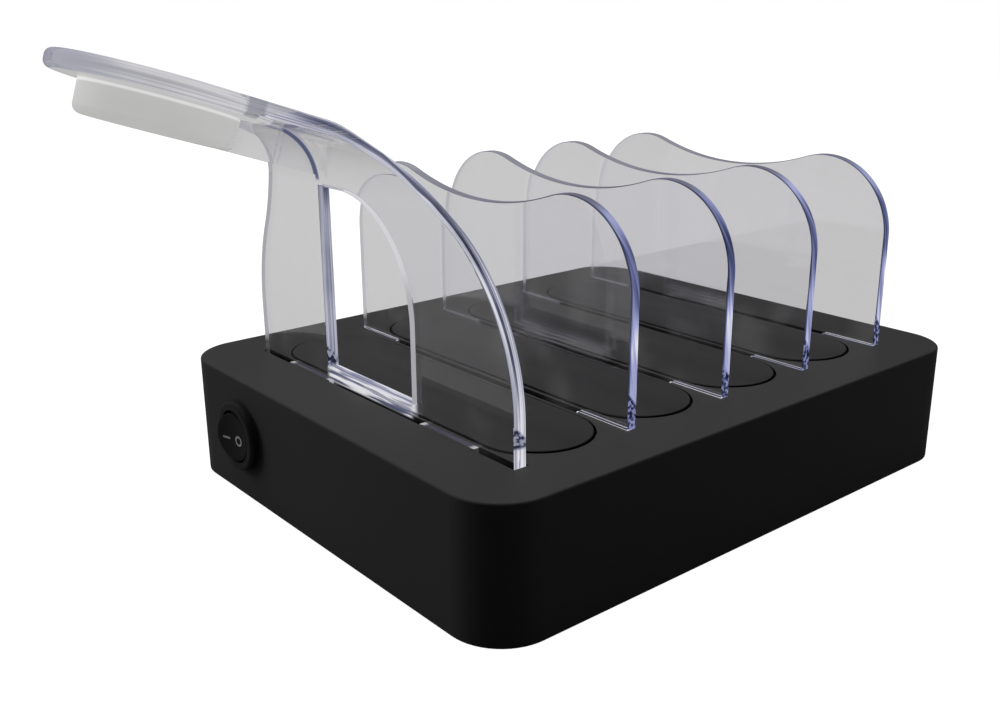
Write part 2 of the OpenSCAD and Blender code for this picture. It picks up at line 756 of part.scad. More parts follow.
module mains_choke() color([0.7, 0.4, 0.15]) on_supply(2, ring_y)
    translate([0, 0, ring_wire_r + fit]) rotate_extrude() translate([ring_r, 0]) circle(ring_wire_r);

module mains_fuse() color([0.85, 0.85, 0.85]) on_supply(2, fuse_y)
    translate([0, 0, cap_r + fit]) rotate([0, 90, 0]) {
        cylinder(h = fuse_l, r = fuse_r, center = true);
        for (s = [-1, 1]) translate([0, 0, s * (fuse_l - cap_l) / 2])
            cylinder(h = cap_l, r = cap_r, center = true);
    }

module heat_sink() color([0.7, 0.7, 0.72]) on_supply(3, sink_y) {
    translate([-sink[0] / 2, 0, 0]) cube(sink);
    for (k = [0 : fins - 1])
        translate([-sink[0] / 2 + k * (sink[0] - fin_t) / (fins - 1), -fin_l, 0])
            cube([fin_t, fin_l + fit, sink[2]]);
}

module power_transistor() color([0.1, 0.1, 0.1]) on_supply(3, sink_y + sink[1])
    translate([-transistor[0] / 2, 0, 0]) cube(transistor);

module board_screws() color("silver") {
    for (x = usb_posts) translate([x, usb_post_y, z_usb_top]) board_screw();
    for (p = supply_posts) translate([p[0], p[1], z_supply_top]) board_screw();
}

module board_screw() {
    mirror([0, 0, 1]) screw(board_screw_r, board_screw_l, board_head_r, board_head_h);
}

function unit(v) = v / norm(v);

// A tube of eight sides along a path. The reference direction is never along the path.
module lead(path, ref) {
    sides = 8;
    last = len(path) - 1;
    rings = [for (k = [0 : last])
        let (t = unit(path[min(k + 1, last)] - path[max(k - 1, 0)]),
            across = unit(cross(t, ref)),
            up = cross(across, t))
        for (s = [0 : sides - 1])
            path[k] + lead_r * (cos(360 * s / sides) * across + sin(360 * s / sides) * up)];
    walls = [for (k = [0 : last - 1], s = [0 : sides - 1])
        let (a = k * sides + s, b = k * sides + (s + 1) % sides)
        each [[a, b + sides, b], [a, a + sides, b + sides]]];
    caps = [for (s = [1 : sides - 2])
        each [[0, s, s + 1], [last * sides, last * sides + s + 1, last * sides + s]]];
    polyhedron(points = rings, faces = concat(walls, caps));
}

// A path that levels off after its first stretch, then comes down onto the supply board.
function drop_path(from, out, to) = let (a = from + out, b = to + [-2.5, 1.2, 4.4])
    [from, a, (a + b) / 2, b, to + [0, 0, 3], to];

module mains_leads() color([0.45, 0.2, 0.1]) {
    lead([tails[0], tails[0] + [0, -2.5, 0], tails[0] + [-1.5, -5, -1], blades[1] + [4, 0, 0], blades[1]],
        [0, 0, 1]);
    lead(drop_path(blades[0], [5, 0, 0], lead_ends[0]), [0, 1, 0]);
    lead(drop_path(tails[1], [0, -4, 0], lead_ends[1]), [1, 0, 0]);
}

module dc_leads() color([0.7, 0.1, 0.1]) for (x = dc_xs)
    lead([[x, dc_y, z_supply_top], [x, dc_y, z_supply_top + dc_rise],
        [x, dc_y + dc_rise, z_usb_top + dc_rise], [x, y_usb_board - dc_rise, z_usb_top + dc_arch],
        [x, y_usb_board + dc_in / 2, z_usb_top + dc_in], [x, y_usb_board + dc_in, z_usb_top + dc_in / 2],
        [x, y_usb_board + dc_in, z_usb_top]], [1, 0, 0]);

top_shell();
bottom_cover();
rubber_feet();
cover_screws();
for (i = [1 : bays]) bay_pad(i);
for (i = [1 : bays]) divider(i);
watch_stand();
switch_housing();
switch_rocker();
switch_terminals();
inlet_housing();
inlet_pins();
usb_board();
for (i = [1 : ports]) usb_shell(i);
usb_tongues();
supply_board();
transformer_core();
transformer_coil();
bulk_capacitor();
output_capacitors();
mains_choke();
mains_fuse();
heat_sink();
power_transistor();
board_screws();
mains_leads();
dc_leads();
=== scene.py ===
# %% [markdown]
# # A desktop charging station
# A flat black housing carries four soft pads, four clear dividers and a clear watch stand. The solids
# come from the CAD frame, already at their places and in metres. This lesson dresses them: the clear
# pieces, the pads and the switch's rocker are modelled again with soft edges, and every surface gets a
# finish.

# %% Load the frame
import json
import math

import bmesh
import bpy
from mathutils import Matrix, Vector


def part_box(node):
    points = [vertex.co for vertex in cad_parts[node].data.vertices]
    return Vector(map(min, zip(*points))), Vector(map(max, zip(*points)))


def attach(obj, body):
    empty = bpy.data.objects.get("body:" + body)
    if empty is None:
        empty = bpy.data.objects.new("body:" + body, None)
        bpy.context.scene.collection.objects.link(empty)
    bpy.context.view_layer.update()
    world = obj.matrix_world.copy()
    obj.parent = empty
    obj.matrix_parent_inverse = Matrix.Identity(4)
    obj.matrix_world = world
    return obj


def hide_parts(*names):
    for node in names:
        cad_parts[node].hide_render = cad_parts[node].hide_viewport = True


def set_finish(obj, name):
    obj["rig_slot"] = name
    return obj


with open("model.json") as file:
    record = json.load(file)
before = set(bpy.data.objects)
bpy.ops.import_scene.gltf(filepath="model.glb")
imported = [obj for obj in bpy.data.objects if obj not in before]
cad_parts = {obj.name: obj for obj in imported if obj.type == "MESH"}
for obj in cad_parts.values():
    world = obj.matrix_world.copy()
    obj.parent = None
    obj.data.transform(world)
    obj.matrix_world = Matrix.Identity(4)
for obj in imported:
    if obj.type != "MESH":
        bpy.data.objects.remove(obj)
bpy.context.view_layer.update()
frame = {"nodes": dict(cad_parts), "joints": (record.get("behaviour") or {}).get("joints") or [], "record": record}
MM = 0.001

# %% [markdown]
# ## The camera
# The camera stands in front of the station, to its left, and looks down a little. A camera looks along
# its own -Z with +Y up, so its matrix is built from three directions: right, up and back.

# %% Camera
EYE, LENS, SENSOR = (-0.19014, -0.20072, 0.11885), 40.03, 36
YAW, PITCH, ROLL = (math.radians(a) for a in (39.5526, 17.7183, 0.354))
ahead = Vector((math.sin(YAW) * math.cos(PITCH), math.cos(YAW) * math.cos(PITCH), -math.sin(PITCH)))
level = Vector((math.cos(YAW), -math.sin(YAW), 0))
below = ahead.cross(level)
right = math.cos(ROLL) * level + math.sin(ROLL) * below
down = math.cos(ROLL) * below - math.sin(ROLL) * level
bpy.ops.object.camera_add()
camera = bpy.context.object
camera.name = "photo_camera"
turn = Matrix((right, -down, -ahead)).transposed().to_4x4()
camera.matrix_world = Matrix.Translation(EYE) @ turn
camera.data.lens, camera.data.sensor_width = LENS, SENSOR
bpy.context.scene.camera = camera
print("camera looks along", [round(v, 3) for v in ahead])

# %% [markdown]
# ## Wires for finishes
# A finish is a small program of nodes. Written as Python expressions it stays short: this class wraps one
# socket, so that sums and products of sockets add Math nodes by themselves, and `node` adds any other
# node. `step` rises softly from 0 to 1 between two values, and `blend` mixes two colours.


# %% Socket wrapper
class Wire:
    def __init__(self, tree, socket=None):
        self.tree, self.socket = tree, socket

    def node(self, kind, settings=None, sockets=None, out=0):
        made = self.tree.nodes.new(kind)
        for name, value in (settings or {}).items():
            if name == "stops":
                while len(made.color_ramp.elements) < len(value):
                    made.color_ramp.elements.new(0.5)
                for element, (place, colour) in zip(made.color_ramp.elements, value):
                    element.position, element.color = place, colour
            else:
                setattr(made, name, value)
        for name, value in (sockets or {}).items():
            if isinstance(value, Wire):
                self.tree.links.new(value.socket, made.inputs[name])
            else:
                made.inputs[name].default_value = value
        return Wire(self.tree, made.outputs[out] if made.outputs else None)

    def math(self, operation, first, second=0.0):
        return self.node("ShaderNodeMath", {"operation": operation}, {0: first, 1: second})

    def __add__(self, other):
        return self.math("ADD", self, other)

    def __radd__(self, other):
        return self.math("ADD", other, self)

    def __sub__(self, other):
        return self.math("SUBTRACT", self, other)

    def __rsub__(self, other):
        return self.math("SUBTRACT", other, self)

    def __mul__(self, other):
        return self.math("MULTIPLY", self, other)

    def __rmul__(self, other):
        return self.math("MULTIPLY", other, self)

    def __abs__(self):
        return self.math("ABSOLUTE", self)

    def larger(self, other):
        return self.math("MAXIMUM", self, other)

    def step(self, low, high):
        return self.node("ShaderNodeMapRange", {"interpolation_type": "SMOOTHSTEP"},
                         {"Value": self, "From Min": low, "From Max": high})

    def blend(self, first, second):
        return self.node("ShaderNodeMix", {"data_type": "RGBA"}, {0: self, 6: first, 7: second}, out=2)


def rgb(r, g, b):
    return (r, g, b, 1.0)


def grey(level):
    return rgb(level, level, level)


def new_finish(name):
    finish = bpy.data.materials.new(name)
    finish.use_nodes = True
    finish.node_tree.nodes.clear()
    return finish, Wire(finish.node_tree)


def close_finish(wire, shader):
    wire.node("ShaderNodeOutputMaterial", None, {"Surface": shader})


print("socket wrapper ready")

# %% [markdown]
# ## Floor and light
# The station stands on a plain pale floor in soft studio light. A bright floor would throw its light back
# up onto the black sides, so it is pale where the camera looks straight at it and greyer for every other
# ray, as if grey cards stood around the table. A ray that has gone through clear plastic sees that grey
# too.


# %% Floor and room
def room_levels(wire, seen, through, lit):
    path = wire.node("ShaderNodeLightPath")
    outs = {o.name: Wire(wire.tree, o) for o in path.socket.node.outputs}
    other = outs["Is Transmission Ray"].blend(grey(lit), grey(through))
    return outs["Is Camera Ray"].blend(other, grey(seen))


FLOOR_Z = -0.0002
bpy.ops.object.select_all(action="DESELECT")
bpy.ops.mesh.primitive_plane_add(size=8, location=(0, 0, FLOOR_Z))
floor = bpy.context.object
floor.name = "studio_floor"
pale, wire = new_finish("pale_floor")
glow = wire.node("ShaderNodeEmission", None, {"Color": room_levels(wire, seen=1.0, through=0.48, lit=0.02)})
card = wire.node("ShaderNodeBsdfDiffuse", None, {"Color": grey(0.08)})
close_finish(wire, wire.node("ShaderNodeAddShader", None, {0: glow, 1: card}))
floor.data.materials.append(pale)

world = bpy.data.worlds.new("studio_room")
bpy.context.scene.world = world
world.use_nodes = True
world.node_tree.nodes.clear()
wire = Wire(world.node_tree)
room = room_levels(wire, seen=1.0, through=0.53, lit=0.07)
sky = wire.node("ShaderNodeBackground", None, {"Color": room})
wire.node("ShaderNodeOutputWorld", None, {"Surface": sky})
bpy.context.scene.view_settings.view_transform = "Standard"
print("floor and room ready")


# %% [markdown]
# Three soft boxes light the station: a wide one high above and behind gives the deck its grey sheen, one
# at the back left lights the side with the switch, and a weak one at the right lifts the far end of the
# front. None of them is mirrored in the clear pieces or seen through them, where a lamp would burn white
# spots.


# %% Lamps
def soft_box(name, place, target, size, power):
    bpy.ops.object.light_add(type="AREA", location=place)
    lamp = bpy.context.object
    lamp.name = name
    lamp.rotation_euler = (Vector(target) - Vector(place)).to_track_quat("-Z", "Y").to_euler()
    lamp.data.size = size
    lamp.data.energy = power
    lamp.visible_transmission = lamp.visible_glossy = False


STATION, FRONT_RIGHT = (0, 0, 0.03), (0.05, -0.06, 0.02)
soft_box("soft_box_above", (0.15, 0.35, 0.95), STATION, size=0.9, power=15)
soft_box("soft_box_left", (-0.45, 0.62, 0.35), STATION, size=0.4, power=6.2)
soft_box("soft_box_right", (0.35, -0.3, 0.15), FRONT_RIGHT, size=0.2, power=0.5)

# %% [markdown]
# ## Working by selection
# Blender's operators act on whatever is selected, so each piece begins with an empty selection and a
# primitive at its place. Edges and faces are then picked by a test on where they lie or which way they
# face. The few steps that every piece needs are written once: extrude, merge doubles, and turn the faces
# outwards.


# %% Selections and edits
JOIN, SHARP = 0.002 * MM, 35


def clear_selection():
    if bpy.context.object and bpy.context.object.mode != "OBJECT":
        bpy.ops.object.mode_set(mode="OBJECT")
    bpy.ops.object.select_all(action="DESELECT")


def take(piece):
    clear_selection()
    bpy.context.view_layer.objects.active = piece
    piece.select_set(True)


def settle():
    bpy.ops.object.transform_apply(location=True, rotation=True, scale=True)


def begin(name, add, **how):
    clear_selection()
    add(**how)
    piece = bpy.context.object
    piece.name = name
    settle()
    bpy.ops.object.mode_set(mode="EDIT")
    bpy.ops.mesh.select_mode(type="VERT")
    return piece


def pick(kind, wanted):
    mesh = bpy.context.object.data
    shape = bmesh.from_edit_mesh(mesh)
    bpy.ops.mesh.select_all(action="DESELECT")
    bpy.ops.mesh.select_mode(type={"edges": "EDGE", "faces": "FACE"}[kind])
    chosen = [e for e in getattr(shape, kind) if wanted(e)]
    for e in chosen:
        e.select_set(True)
    shape.select_flush_mode()
    bmesh.update_edit_mesh(mesh)
    return len(chosen)


def extrude(way):
    bpy.ops.mesh.extrude_region_move(TRANSFORM_OT_translate={"value": way})


def merge(within=JOIN):
    bpy.ops.mesh.select_all(action="SELECT")
    bpy.ops.mesh.remove_doubles(threshold=within)


def face_out():
    bpy.ops.mesh.select_all(action="SELECT")
    bpy.ops.mesh.normals_make_consistent(inside=False)


def leave(piece, smooth=None):
    bpy.ops.object.mode_set(mode="OBJECT")
    if smooth:
        bpy.ops.object.shade_smooth_by_angle(angle=math.radians(smooth))
    print(piece.name, "has", len(piece.data.polygons), "faces")
    return piece


print("doubles closer than", JOIN / MM, "mm are merged")


# %% [markdown]
# ## Drawing with a pen
# The clear pieces are cut from sheet, so each starts as a drawn outline. The pen is one vertex: extruding
# it draws a straight edge and spinning it draws an arc. Spin turns clockwise for a positive angle about
# +X, so the pen hands it the angle with the other sign. A filled outline is then extruded to the sheet's
# thickness.


# %% Pen
class Pen:
    def __init__(self, name, start):
        self.piece = begin(name, bpy.ops.mesh.primitive_plane_add, size=MM, location=start)
        bpy.ops.mesh.merge(type="CENTER")
        self.at = Vector(start)

    def to(self, *place):
        extrude(Vector(place) - self.at)
        self.at = Vector(place)

    def arc(self, centre, degrees, steps, axis=(1, 0, 0)):
        bpy.ops.mesh.spin(steps=steps, angle=-math.radians(degrees), center=centre, axis=axis)
        centre = Vector(centre)
        self.at = Matrix.Rotation(math.radians(degrees), 3, axis) @ (self.at - centre) + centre

    def check(self, place, where):
        print("pen is", round((self.at - Vector(place)).length / MM, 4), "mm off", where)

    def fill(self, along):
        merge()
        bpy.ops.mesh.edge_face_add()
        bpy.ops.mesh.select_all(action="SELECT")
        extrude(along)
        face_out()
        return leave(self.piece)


print("pen ready")


# %% [markdown]
# Three steps finish a piece. A boolean joins it to another or cuts it, and the other is then removed. A
# bevel rounds its sharp edges. Weighted normals keep its large faces flat in the light beside those round
# edges.


# %% Joining and finishing
def combine(piece, other, operation):
    take(piece)
    cut = piece.modifiers.new("combine", "BOOLEAN")
    cut.object, cut.operation, cut.solver = other, operation, "EXACT"
    bpy.ops.object.modifier_apply(modifier=cut.name)
    bpy.data.objects.remove(other)


def soften(piece, width):
    take(piece)
    edge = piece.modifiers.new("soft_edge", "BEVEL")
    edge.width, edge.segments, edge.limit_method = width, 3, "ANGLE"
    edge.angle_limit = math.radians(SHARP)
    edge.miter_outer = "MITER_ARC"
    bpy.ops.object.modifier_apply(modifier=edge.name)


def steady(piece, sharp=SHARP):
    bpy.ops.object.shade_smooth_by_angle(angle=math.radians(sharp))
    weigh = piece.modifiers.new("steady_faces", "WEIGHTED_NORMAL")
    weigh.weight, weigh.keep_sharp = 100, True
    bpy.ops.object.modifier_apply(modifier=weigh.name)


print("edges count as sharp from", SHARP, "degrees")

# %% [markdown]
# ## The dividers
# A divider is a flat clear plate with two humps and a dip between them, held by a tab in a slot of the
# deck. A bevelled cube could give the plate but not the wave, so the outline is drawn: up the front edge,
# over the front hump, through the dip, over the back hump and down again. Each arc meets the next along
# one tangent.

# %% Divider outline
low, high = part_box("divider_1")
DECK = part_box("top_shell")[1].z
HALF, TAB_HALF, HUMP_R, HUMP_UP, DIP_UP = 50.5 * MM, 35 * MM, 19 * MM, 28.6 * MM, 13.8 * MM
LIFT, PLATE_SOFT = 0.05 * MM, 0.35 * MM
hump_y = HALF - HUMP_R
dip_r = (hump_y ** 2 + DIP_UP ** 2 - HUMP_R ** 2) / (2 * (HUMP_R - DIP_UP))
swing = math.degrees(math.atan2(hump_y, DIP_UP + dip_r))
hump_z, dip_z = DECK + HUMP_UP, DECK + HUMP_UP + DIP_UP + dip_r

pen = Pen("divider_plate", (low.x, -TAB_HALF, low.z))
pen.to(low.x, -TAB_HALF, DECK + LIFT)
pen.to(low.x, -HALF, DECK + LIFT)
pen.to(low.x, -HALF, hump_z)
pen.arc((low.x, -hump_y, hump_z), -(90 + swing), steps=40)
pen.arc((low.x, 0, dip_z), 2 * swing, steps=32)
pen.arc((low.x, hump_y, hump_z), -(90 + swing), steps=40)
pen.check((low.x, HALF, hump_z), "after the wave")
pen.to(low.x, HALF, DECK + LIFT)
pen.to(low.x, TAB_HALF, DECK + LIFT)
pen.to(low.x, TAB_HALF, low.z)
pen.to(low.x, -TAB_HALF, low.z)
plate = pen.fill((high.x - low.x, 0, 0))
soften(plate, PLATE_SOFT)
steady(plate)


# %% [markdown]
# Light leaves clear sheet mostly at its cut edges, so the edges will get a painted glow of their own. Which
# faces are edges is painted on the mesh as a face attribute. Two more say where an edge is calm, as along
# the wave, and where it is painted dark as shade and painted bright as a glint, as under the foot. A last
# one lays a grain along the sheet: its first number runs across the thickness and the other two along it, so
# that streaks can follow the edge.


# %% Edge mask and grain
FLAT, DOWN, SIDEWAYS, SIDE_GLINT = 0.8, -0.97, -0.2, 0.45


def paint(piece, name, value_of):
    mask = piece.data.attributes.new(name, "FLOAT", "FACE")
    mask.data.foreach_set("value", [value_of(f.center, f.normal) for f in piece.data.polygons])


def lay_grain(piece, grain_of):
    grain = piece.data.attributes.new("grain", "FLOAT_VECTOR", "POINT")
    grain.data.foreach_set("vector", [c for v in piece.data.vertices for c in grain_of(v.co)])


def ease(value, low, high):
    t = min(max((value - low) / (high - low), 0), 1)
    return t * t * (3 - 2 * t)


def sheet_rim(centre, normal):
    return 1.0 if abs(normal.x) < FLAT else 0.0


# Painted shade and glints under the foot: faces looking down are painted dark, and the bevels beside them get a
# painted glint.
def plate_bias(normal, glint):
    if normal.z <= DOWN:
        return -1.0
    if normal.z > SIDEWAYS:
        return 0.0
    return glint if normal.x < 0 or glint < 0 else SIDE_GLINT * glint


def plate_calm(centre, normal):
    return 1.0 if abs(centre.y) < hump_y and normal.z > 0 else ease(normal.z, FLAT, 1)


paint(plate, "rim", sheet_rim)
paint(plate, "calm", plate_calm)
print("edge faces:", sum(v.value > 0.5 for v in plate.data.attributes["rim"].data))

# %% [markdown]
# The four dividers are the same moulding, so the finished plate is copied to each slot with a mesh of its
# own. Only the grain and the painted glints and shade under the foot are laid anew on each, so that no two
# of them look the same.


# %% Four dividers
BAYS = (1, 2, 3, 4)
# Levels of the painted glint under the foot; a negative level paints shade there instead.
GRAIN_SHIFT, BRIGHT, FAINT, DARK = 0.3, 0.95, 0.4, -0.9


def copies(piece, nodes):
    made = [piece]
    for name in nodes[1:]:
        copy = piece.copy()
        copy.data = piece.data.copy()
        bpy.context.scene.collection.objects.link(copy)
        copy.data.transform(Matrix.Translation(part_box(name)[0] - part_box(nodes[0])[0]))
        made.append(copy)
    return made


dividers = copies(plate, [f"divider_{n}" for n in BAYS])
for n, piece in zip(BAYS, dividers):
    middle = sum(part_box(f"divider_{n}"), Vector()) / 2
    lay_grain(piece, lambda at: (at.x - middle.x, at.y + GRAIN_SHIFT * n, at.z))
    front, back = BRIGHT if n < 3 else FAINT, FAINT if n == 1 else DARK
    paint(piece, "bias", lambda centre, normal: plate_bias(normal, front if centre.y < 0 else back))
    piece.visible_shadow = False
    piece.name = f"clear_divider_{n}"
    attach(piece, f"divider_{n}")
    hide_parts(f"divider_{n}")
    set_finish(piece, "clear_plastic")

# %% [markdown]
# ## The watch stand
# The stand is one clear moulding: a sheet that stands in the leftmost slot, bends over to the left and
# ends in a round disc with a cup for a watch charger. Blender's Bend tool needs an open window, so the
# stand is made the other way round: a plain strip is drawn up and spun round the bend, and the outline is
# cut out of it.

# %% Bent strip
low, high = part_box("watch_stand")
THICK, STAND_HALF, BEND_R, BEND_UP, ARM_L = 3 * MM, 49.8 * MM, 16 * MM, 47 * MM, 25.5 * MM
RISE, STRIP_SPARE = math.radians(18.5), 2 * MM
stand_x = high.x - THICK / 2
bend = Vector((stand_x - BEND_R, 20 * MM, DECK + BEND_UP))
along = Vector((-math.cos(RISE), 0, math.sin(RISE)))
square = Vector((math.sin(RISE), 0, math.cos(RISE)))
DISC_TOP = BEND_R + THICK / 2

strip = begin("clear_watch_stand", bpy.ops.mesh.primitive_plane_add, size=1, location=(stand_x, 0, low.z))
bpy.ops.transform.resize(value=(THICK, 2 * (STAND_HALF + STRIP_SPARE), 1))
extrude((0, 0, bend.z - low.z))
pick("faces", lambda f: f.normal.z > 0.9 and f.calc_center_median().z > bend.z - MM)
bpy.ops.mesh.delete(type="ONLY_FACE")
pick("edges", lambda e: all(v.co.z > bend.z - MM for v in e.verts))
bpy.ops.mesh.spin(steps=36, angle=math.radians(90) - RISE, center=bend, axis=(0, 1, 0))
extrude(along * ARM_L)
bpy.ops.mesh.edge_face_add()
merge()
face_out()
leave(strip)
print("strip ends at x =", round(min(v.co.x for v in strip.data.vertices) / MM, 1), "mm")

# %% [markdown]
# Seen from the left, the sheet's tall front edge leans back in one wide curve to the narrow arm, and its
# back edge draws in to the arm as well. Three tabs stand in the deck's slot. Moving the strip's own
# points to such curves would spoil its bend, so the outline is drawn on a plane beside it and thickened
# to a cutter that runs across it.

# %% Stand outline
LEAN_R, LEAN_UP, LEAN_DEGREES, NECK_R = 42.4 * MM, 8.4 * MM, 30, 8 * MM
ARM_HALF, DRAW_UP, DRAW_H = 21.4 * MM, 14 * MM, 40 * MM
TAB_OUT, TAB_IN, SPARE = 37 * MM, 18.5 * MM, 10 * MM
slope, lean_turn = math.radians(LEAN_DEGREES), 90 - LEAN_DEGREES
neck_front, neck_back = bend.y - ARM_HALF, bend.y + ARM_HALF
cut_x, clear_top = low.x - SPARE, DECK + 90 * MM
lean_y = LEAN_R - STAND_HALF
draw_turn = 2 * math.degrees(math.atan((STAND_HALF - neck_back) / DRAW_H))
draw_r = DRAW_H / (2 * math.sin(math.radians(draw_turn)))
lean_end = Vector((lean_y - LEAN_R * math.sin(slope), LEAN_UP + LEAN_R * math.cos(slope)))
neck_z = lean_end.y + (neck_front - lean_end.x) * math.tan(slope)
neck_run = NECK_R * math.tan(math.radians(lean_turn / 2))
tabs = [(TAB_OUT, STAND_HALF), (-TAB_IN, TAB_IN), (-STAND_HALF, -TAB_OUT)]

pen = Pen("stand_outline", (cut_x, -STAND_HALF, low.z))
pen.to(cut_x, -STAND_HALF, DECK + LEAN_UP)
pen.arc((cut_x, lean_y, DECK + LEAN_UP), -lean_turn, steps=48)
pen.to(cut_x, neck_front - neck_run * math.cos(slope), DECK + neck_z - neck_run * math.sin(slope))
pen.arc((cut_x, neck_front - NECK_R, DECK + neck_z + neck_run), lean_turn, steps=16)
pen.check((cut_x, neck_front, pen.at.z), "at the neck")
pen.to(cut_x, neck_front, clear_top)
pen.to(cut_x, neck_back, clear_top)
pen.to(cut_x, neck_back, DECK + DRAW_UP + DRAW_H)
pen.arc((cut_x, neck_back + draw_r, DECK + DRAW_UP + DRAW_H), draw_turn, steps=16)
pen.arc((cut_x, STAND_HALF - draw_r, DECK + DRAW_UP), -draw_turn, steps=16)
pen.check((cut_x, STAND_HALF, DECK + DRAW_UP), "at the back edge")
for front, back in tabs:
    pen.to(cut_x, back, DECK + LIFT)
    pen.to(cut_x, back, low.z)
    pen.to(cut_x, front, low.z)
    if front > -STAND_HALF:
        pen.to(cut_x, front, DECK + LIFT)
outline = pen.fill((high.x - cut_x + SPARE, 0, 0))

# %% [markdown]
# A large window lightens the sheet and leaves room for a cable. It has square corners apart from one,
# which is a wide quarter round. An inset face would give four like corners, so the pen draws this one
# too, as a cutter that is thicker than the sheet and leaves no skin behind.

# %% Window
FRONT, BACK, SILL, TOP, CORNER = -15.6 * MM, 18.5 * MM, 3.5 * MM, 46.5 * MM, 26 * MM
wall = stand_x - THICK
pen = Pen("stand_window", (wall, FRONT, DECK + SILL))
pen.to(wall, FRONT, DECK + TOP - CORNER)
pen.arc((wall, FRONT + CORNER, DECK + TOP - CORNER), -90, steps=32)
pen.to(wall, BACK, DECK + TOP)
pen.to(wall, BACK, DECK + SILL)
pen.to(wall, FRONT, DECK + SILL)
window = pen.fill((2 * THICK, 0, 0))


# %% [markdown]
# The arm ends in a disc with a round rim, and under it hangs the cup that holds the charger. Both are
# round about one axis that leans with the arm. Stacked cylinders would leave walls inside, so the pen
# draws half of the section, from the cup's floor to the disc's top, and spin turns it all the way round.
# The helper `arm` gives places on the arm: u runs out along it and w stands square on it.


# %% Disc and cup
def arm(u, w, y=0.0):
    return bend + along * u + square * w + Vector((0, y, 0))


DISC_R, DISC_T, DISC_EDGE, CUP_R, CUP_EDGE = 22.8 * MM, 3.8 * MM, 1.4 * MM, 16.1 * MM, 1.8 * MM
CUP_LOW, SEAT, BORE_R = 6.5 * MM, 8 * MM, 14.2 * MM
disc_low = DISC_TOP - DISC_T
pen = Pen("watch_disc", arm(ARM_L, CUP_LOW))
pen.to(*arm(ARM_L + CUP_R - CUP_EDGE, CUP_LOW))
pen.arc(arm(ARM_L + CUP_R - CUP_EDGE, CUP_LOW + CUP_EDGE), 90, axis=(0, 1, 0), steps=8)
pen.to(*arm(ARM_L + CUP_R, disc_low))
pen.to(*arm(ARM_L + DISC_R - DISC_EDGE, disc_low))
pen.arc(arm(ARM_L + DISC_R - DISC_EDGE, disc_low + DISC_EDGE), 90, axis=(0, 1, 0), steps=8)
pen.to(*arm(ARM_L + DISC_R, DISC_TOP - DISC_EDGE))
pen.arc(arm(ARM_L + DISC_R - DISC_EDGE, DISC_TOP - DISC_EDGE), 90, axis=(0, 1, 0), steps=8)
pen.check(arm(ARM_L + DISC_R - DISC_EDGE, DISC_TOP), "at the rim")
pen.to(*arm(ARM_L, DISC_TOP))
bpy.ops.mesh.select_all(action="SELECT")
bpy.ops.mesh.spin(steps=96, angle=math.radians(360), center=arm(ARM_L, 0), axis=square)
merge()
face_out()
disc = leave(pen.piece)

# %% [markdown]
# A thin rib stiffens the corner between the bend and the cup. A cube would have to be cut to the round of
# the bend, so the rib is drawn as well: along the inside of the bend, out under the arm to the cup, and
# back.

# %% Rib
RIB = 2.6 * MM
reach = math.sqrt(BEND_R ** 2 - CUP_LOW ** 2)
start = math.degrees(math.asin(CUP_LOW / BEND_R))
pen = Pen("stand_rib", arm(-reach, CUP_LOW, -RIB / 2))
pen.arc(arm(0, 0, -RIB / 2), 90 - start, axis=(0, -1, 0), steps=24)
pen.check(arm(0, BEND_R, -RIB / 2), "on the rib")
pen.to(*arm(ARM_L - CUP_R + MM, BEND_R, -RIB / 2))
pen.to(*arm(ARM_L - CUP_R + MM, CUP_LOW, -RIB / 2))
pen.to(*arm(-reach, CUP_LOW, -RIB / 2))
rib = pen.fill((0, RIB, 0))

# %% [markdown]
# Now the pieces become one moulding. The strip keeps what lies inside the outline, loses the window, and
# takes up the disc and the rib. Boolean modifiers suit this, because every cutter is closed and passes
# well through the strip. A bore from above then takes the charger, and a notch in the cup lets its cable
# out. At the end doubles are merged, and edges that lie in one flat face are dissolved.

# %% Join and cut
BORE_OVER, NOTCH_HALF, SLIVER, FLAT_DEGREES = 4 * MM, 2.3 * MM, 0.005 * MM, 0.3
notch_low = DISC_TOP - SEAT - MM
combine(strip, outline, "INTERSECT")
combine(strip, window, "DIFFERENCE")
combine(strip, disc, "UNION")
combine(strip, rib, "UNION")
bore = begin("charger_bore", bpy.ops.mesh.primitive_cylinder_add, vertices=96, radius=BORE_R,
             depth=SEAT + BORE_OVER, location=arm(ARM_L, DISC_TOP - SEAT / 2 + BORE_OVER / 2),
             rotation=square.to_track_quat("Z", "Y").to_euler())
combine(strip, leave(bore), "DIFFERENCE")
pen = Pen("cable_notch", arm(ARM_L - NOTCH_HALF, notch_low))
pen.to(*arm(ARM_L + NOTCH_HALF, notch_low))
pen.to(*arm(ARM_L + NOTCH_HALF, disc_low))
pen.to(*arm(ARM_L - NOTCH_HALF, disc_low))
pen.to(*arm(ARM_L - NOTCH_HALF, notch_low))
combine(strip, pen.fill((0, CUP_R + MM, 0)), "DIFFERENCE")
take(strip)
bpy.ops.object.mode_set(mode="EDIT")
merge(SLIVER)
bpy.ops.mesh.dissolve_limited(angle_limit=math.radians(FLAT_DEGREES))
leave(strip)


# %% [markdown]
# The edges of the moulding are slightly round, which is what makes them catch the light. Only edges that
# stick out are bevelled: an edge is picked where its two faces meet at a clear angle and bulge outwards.
# The bevel doesn't clamp itself, because one very short edge would then shrink it everywhere.


# %% Soft edges of the stand
STAND_SOFT, STAND_SHARP, BULGE, DISC_CLEAR, FOOT_CLEAR = 0.4 * MM, 30, 40, 30 * MM, 0.2 * MM


def sharp_edge(edge):
    if len(edge.link_faces) != 2 or edge.calc_face_angle_signed() < math.radians(BULGE):
        return False
    middle = (edge.verts[0].co + edge.verts[1].co) / 2
    return middle.z > DECK + FOOT_CLEAR and (middle - arm(ARM_L, DISC_TOP)).length > DISC_CLEAR


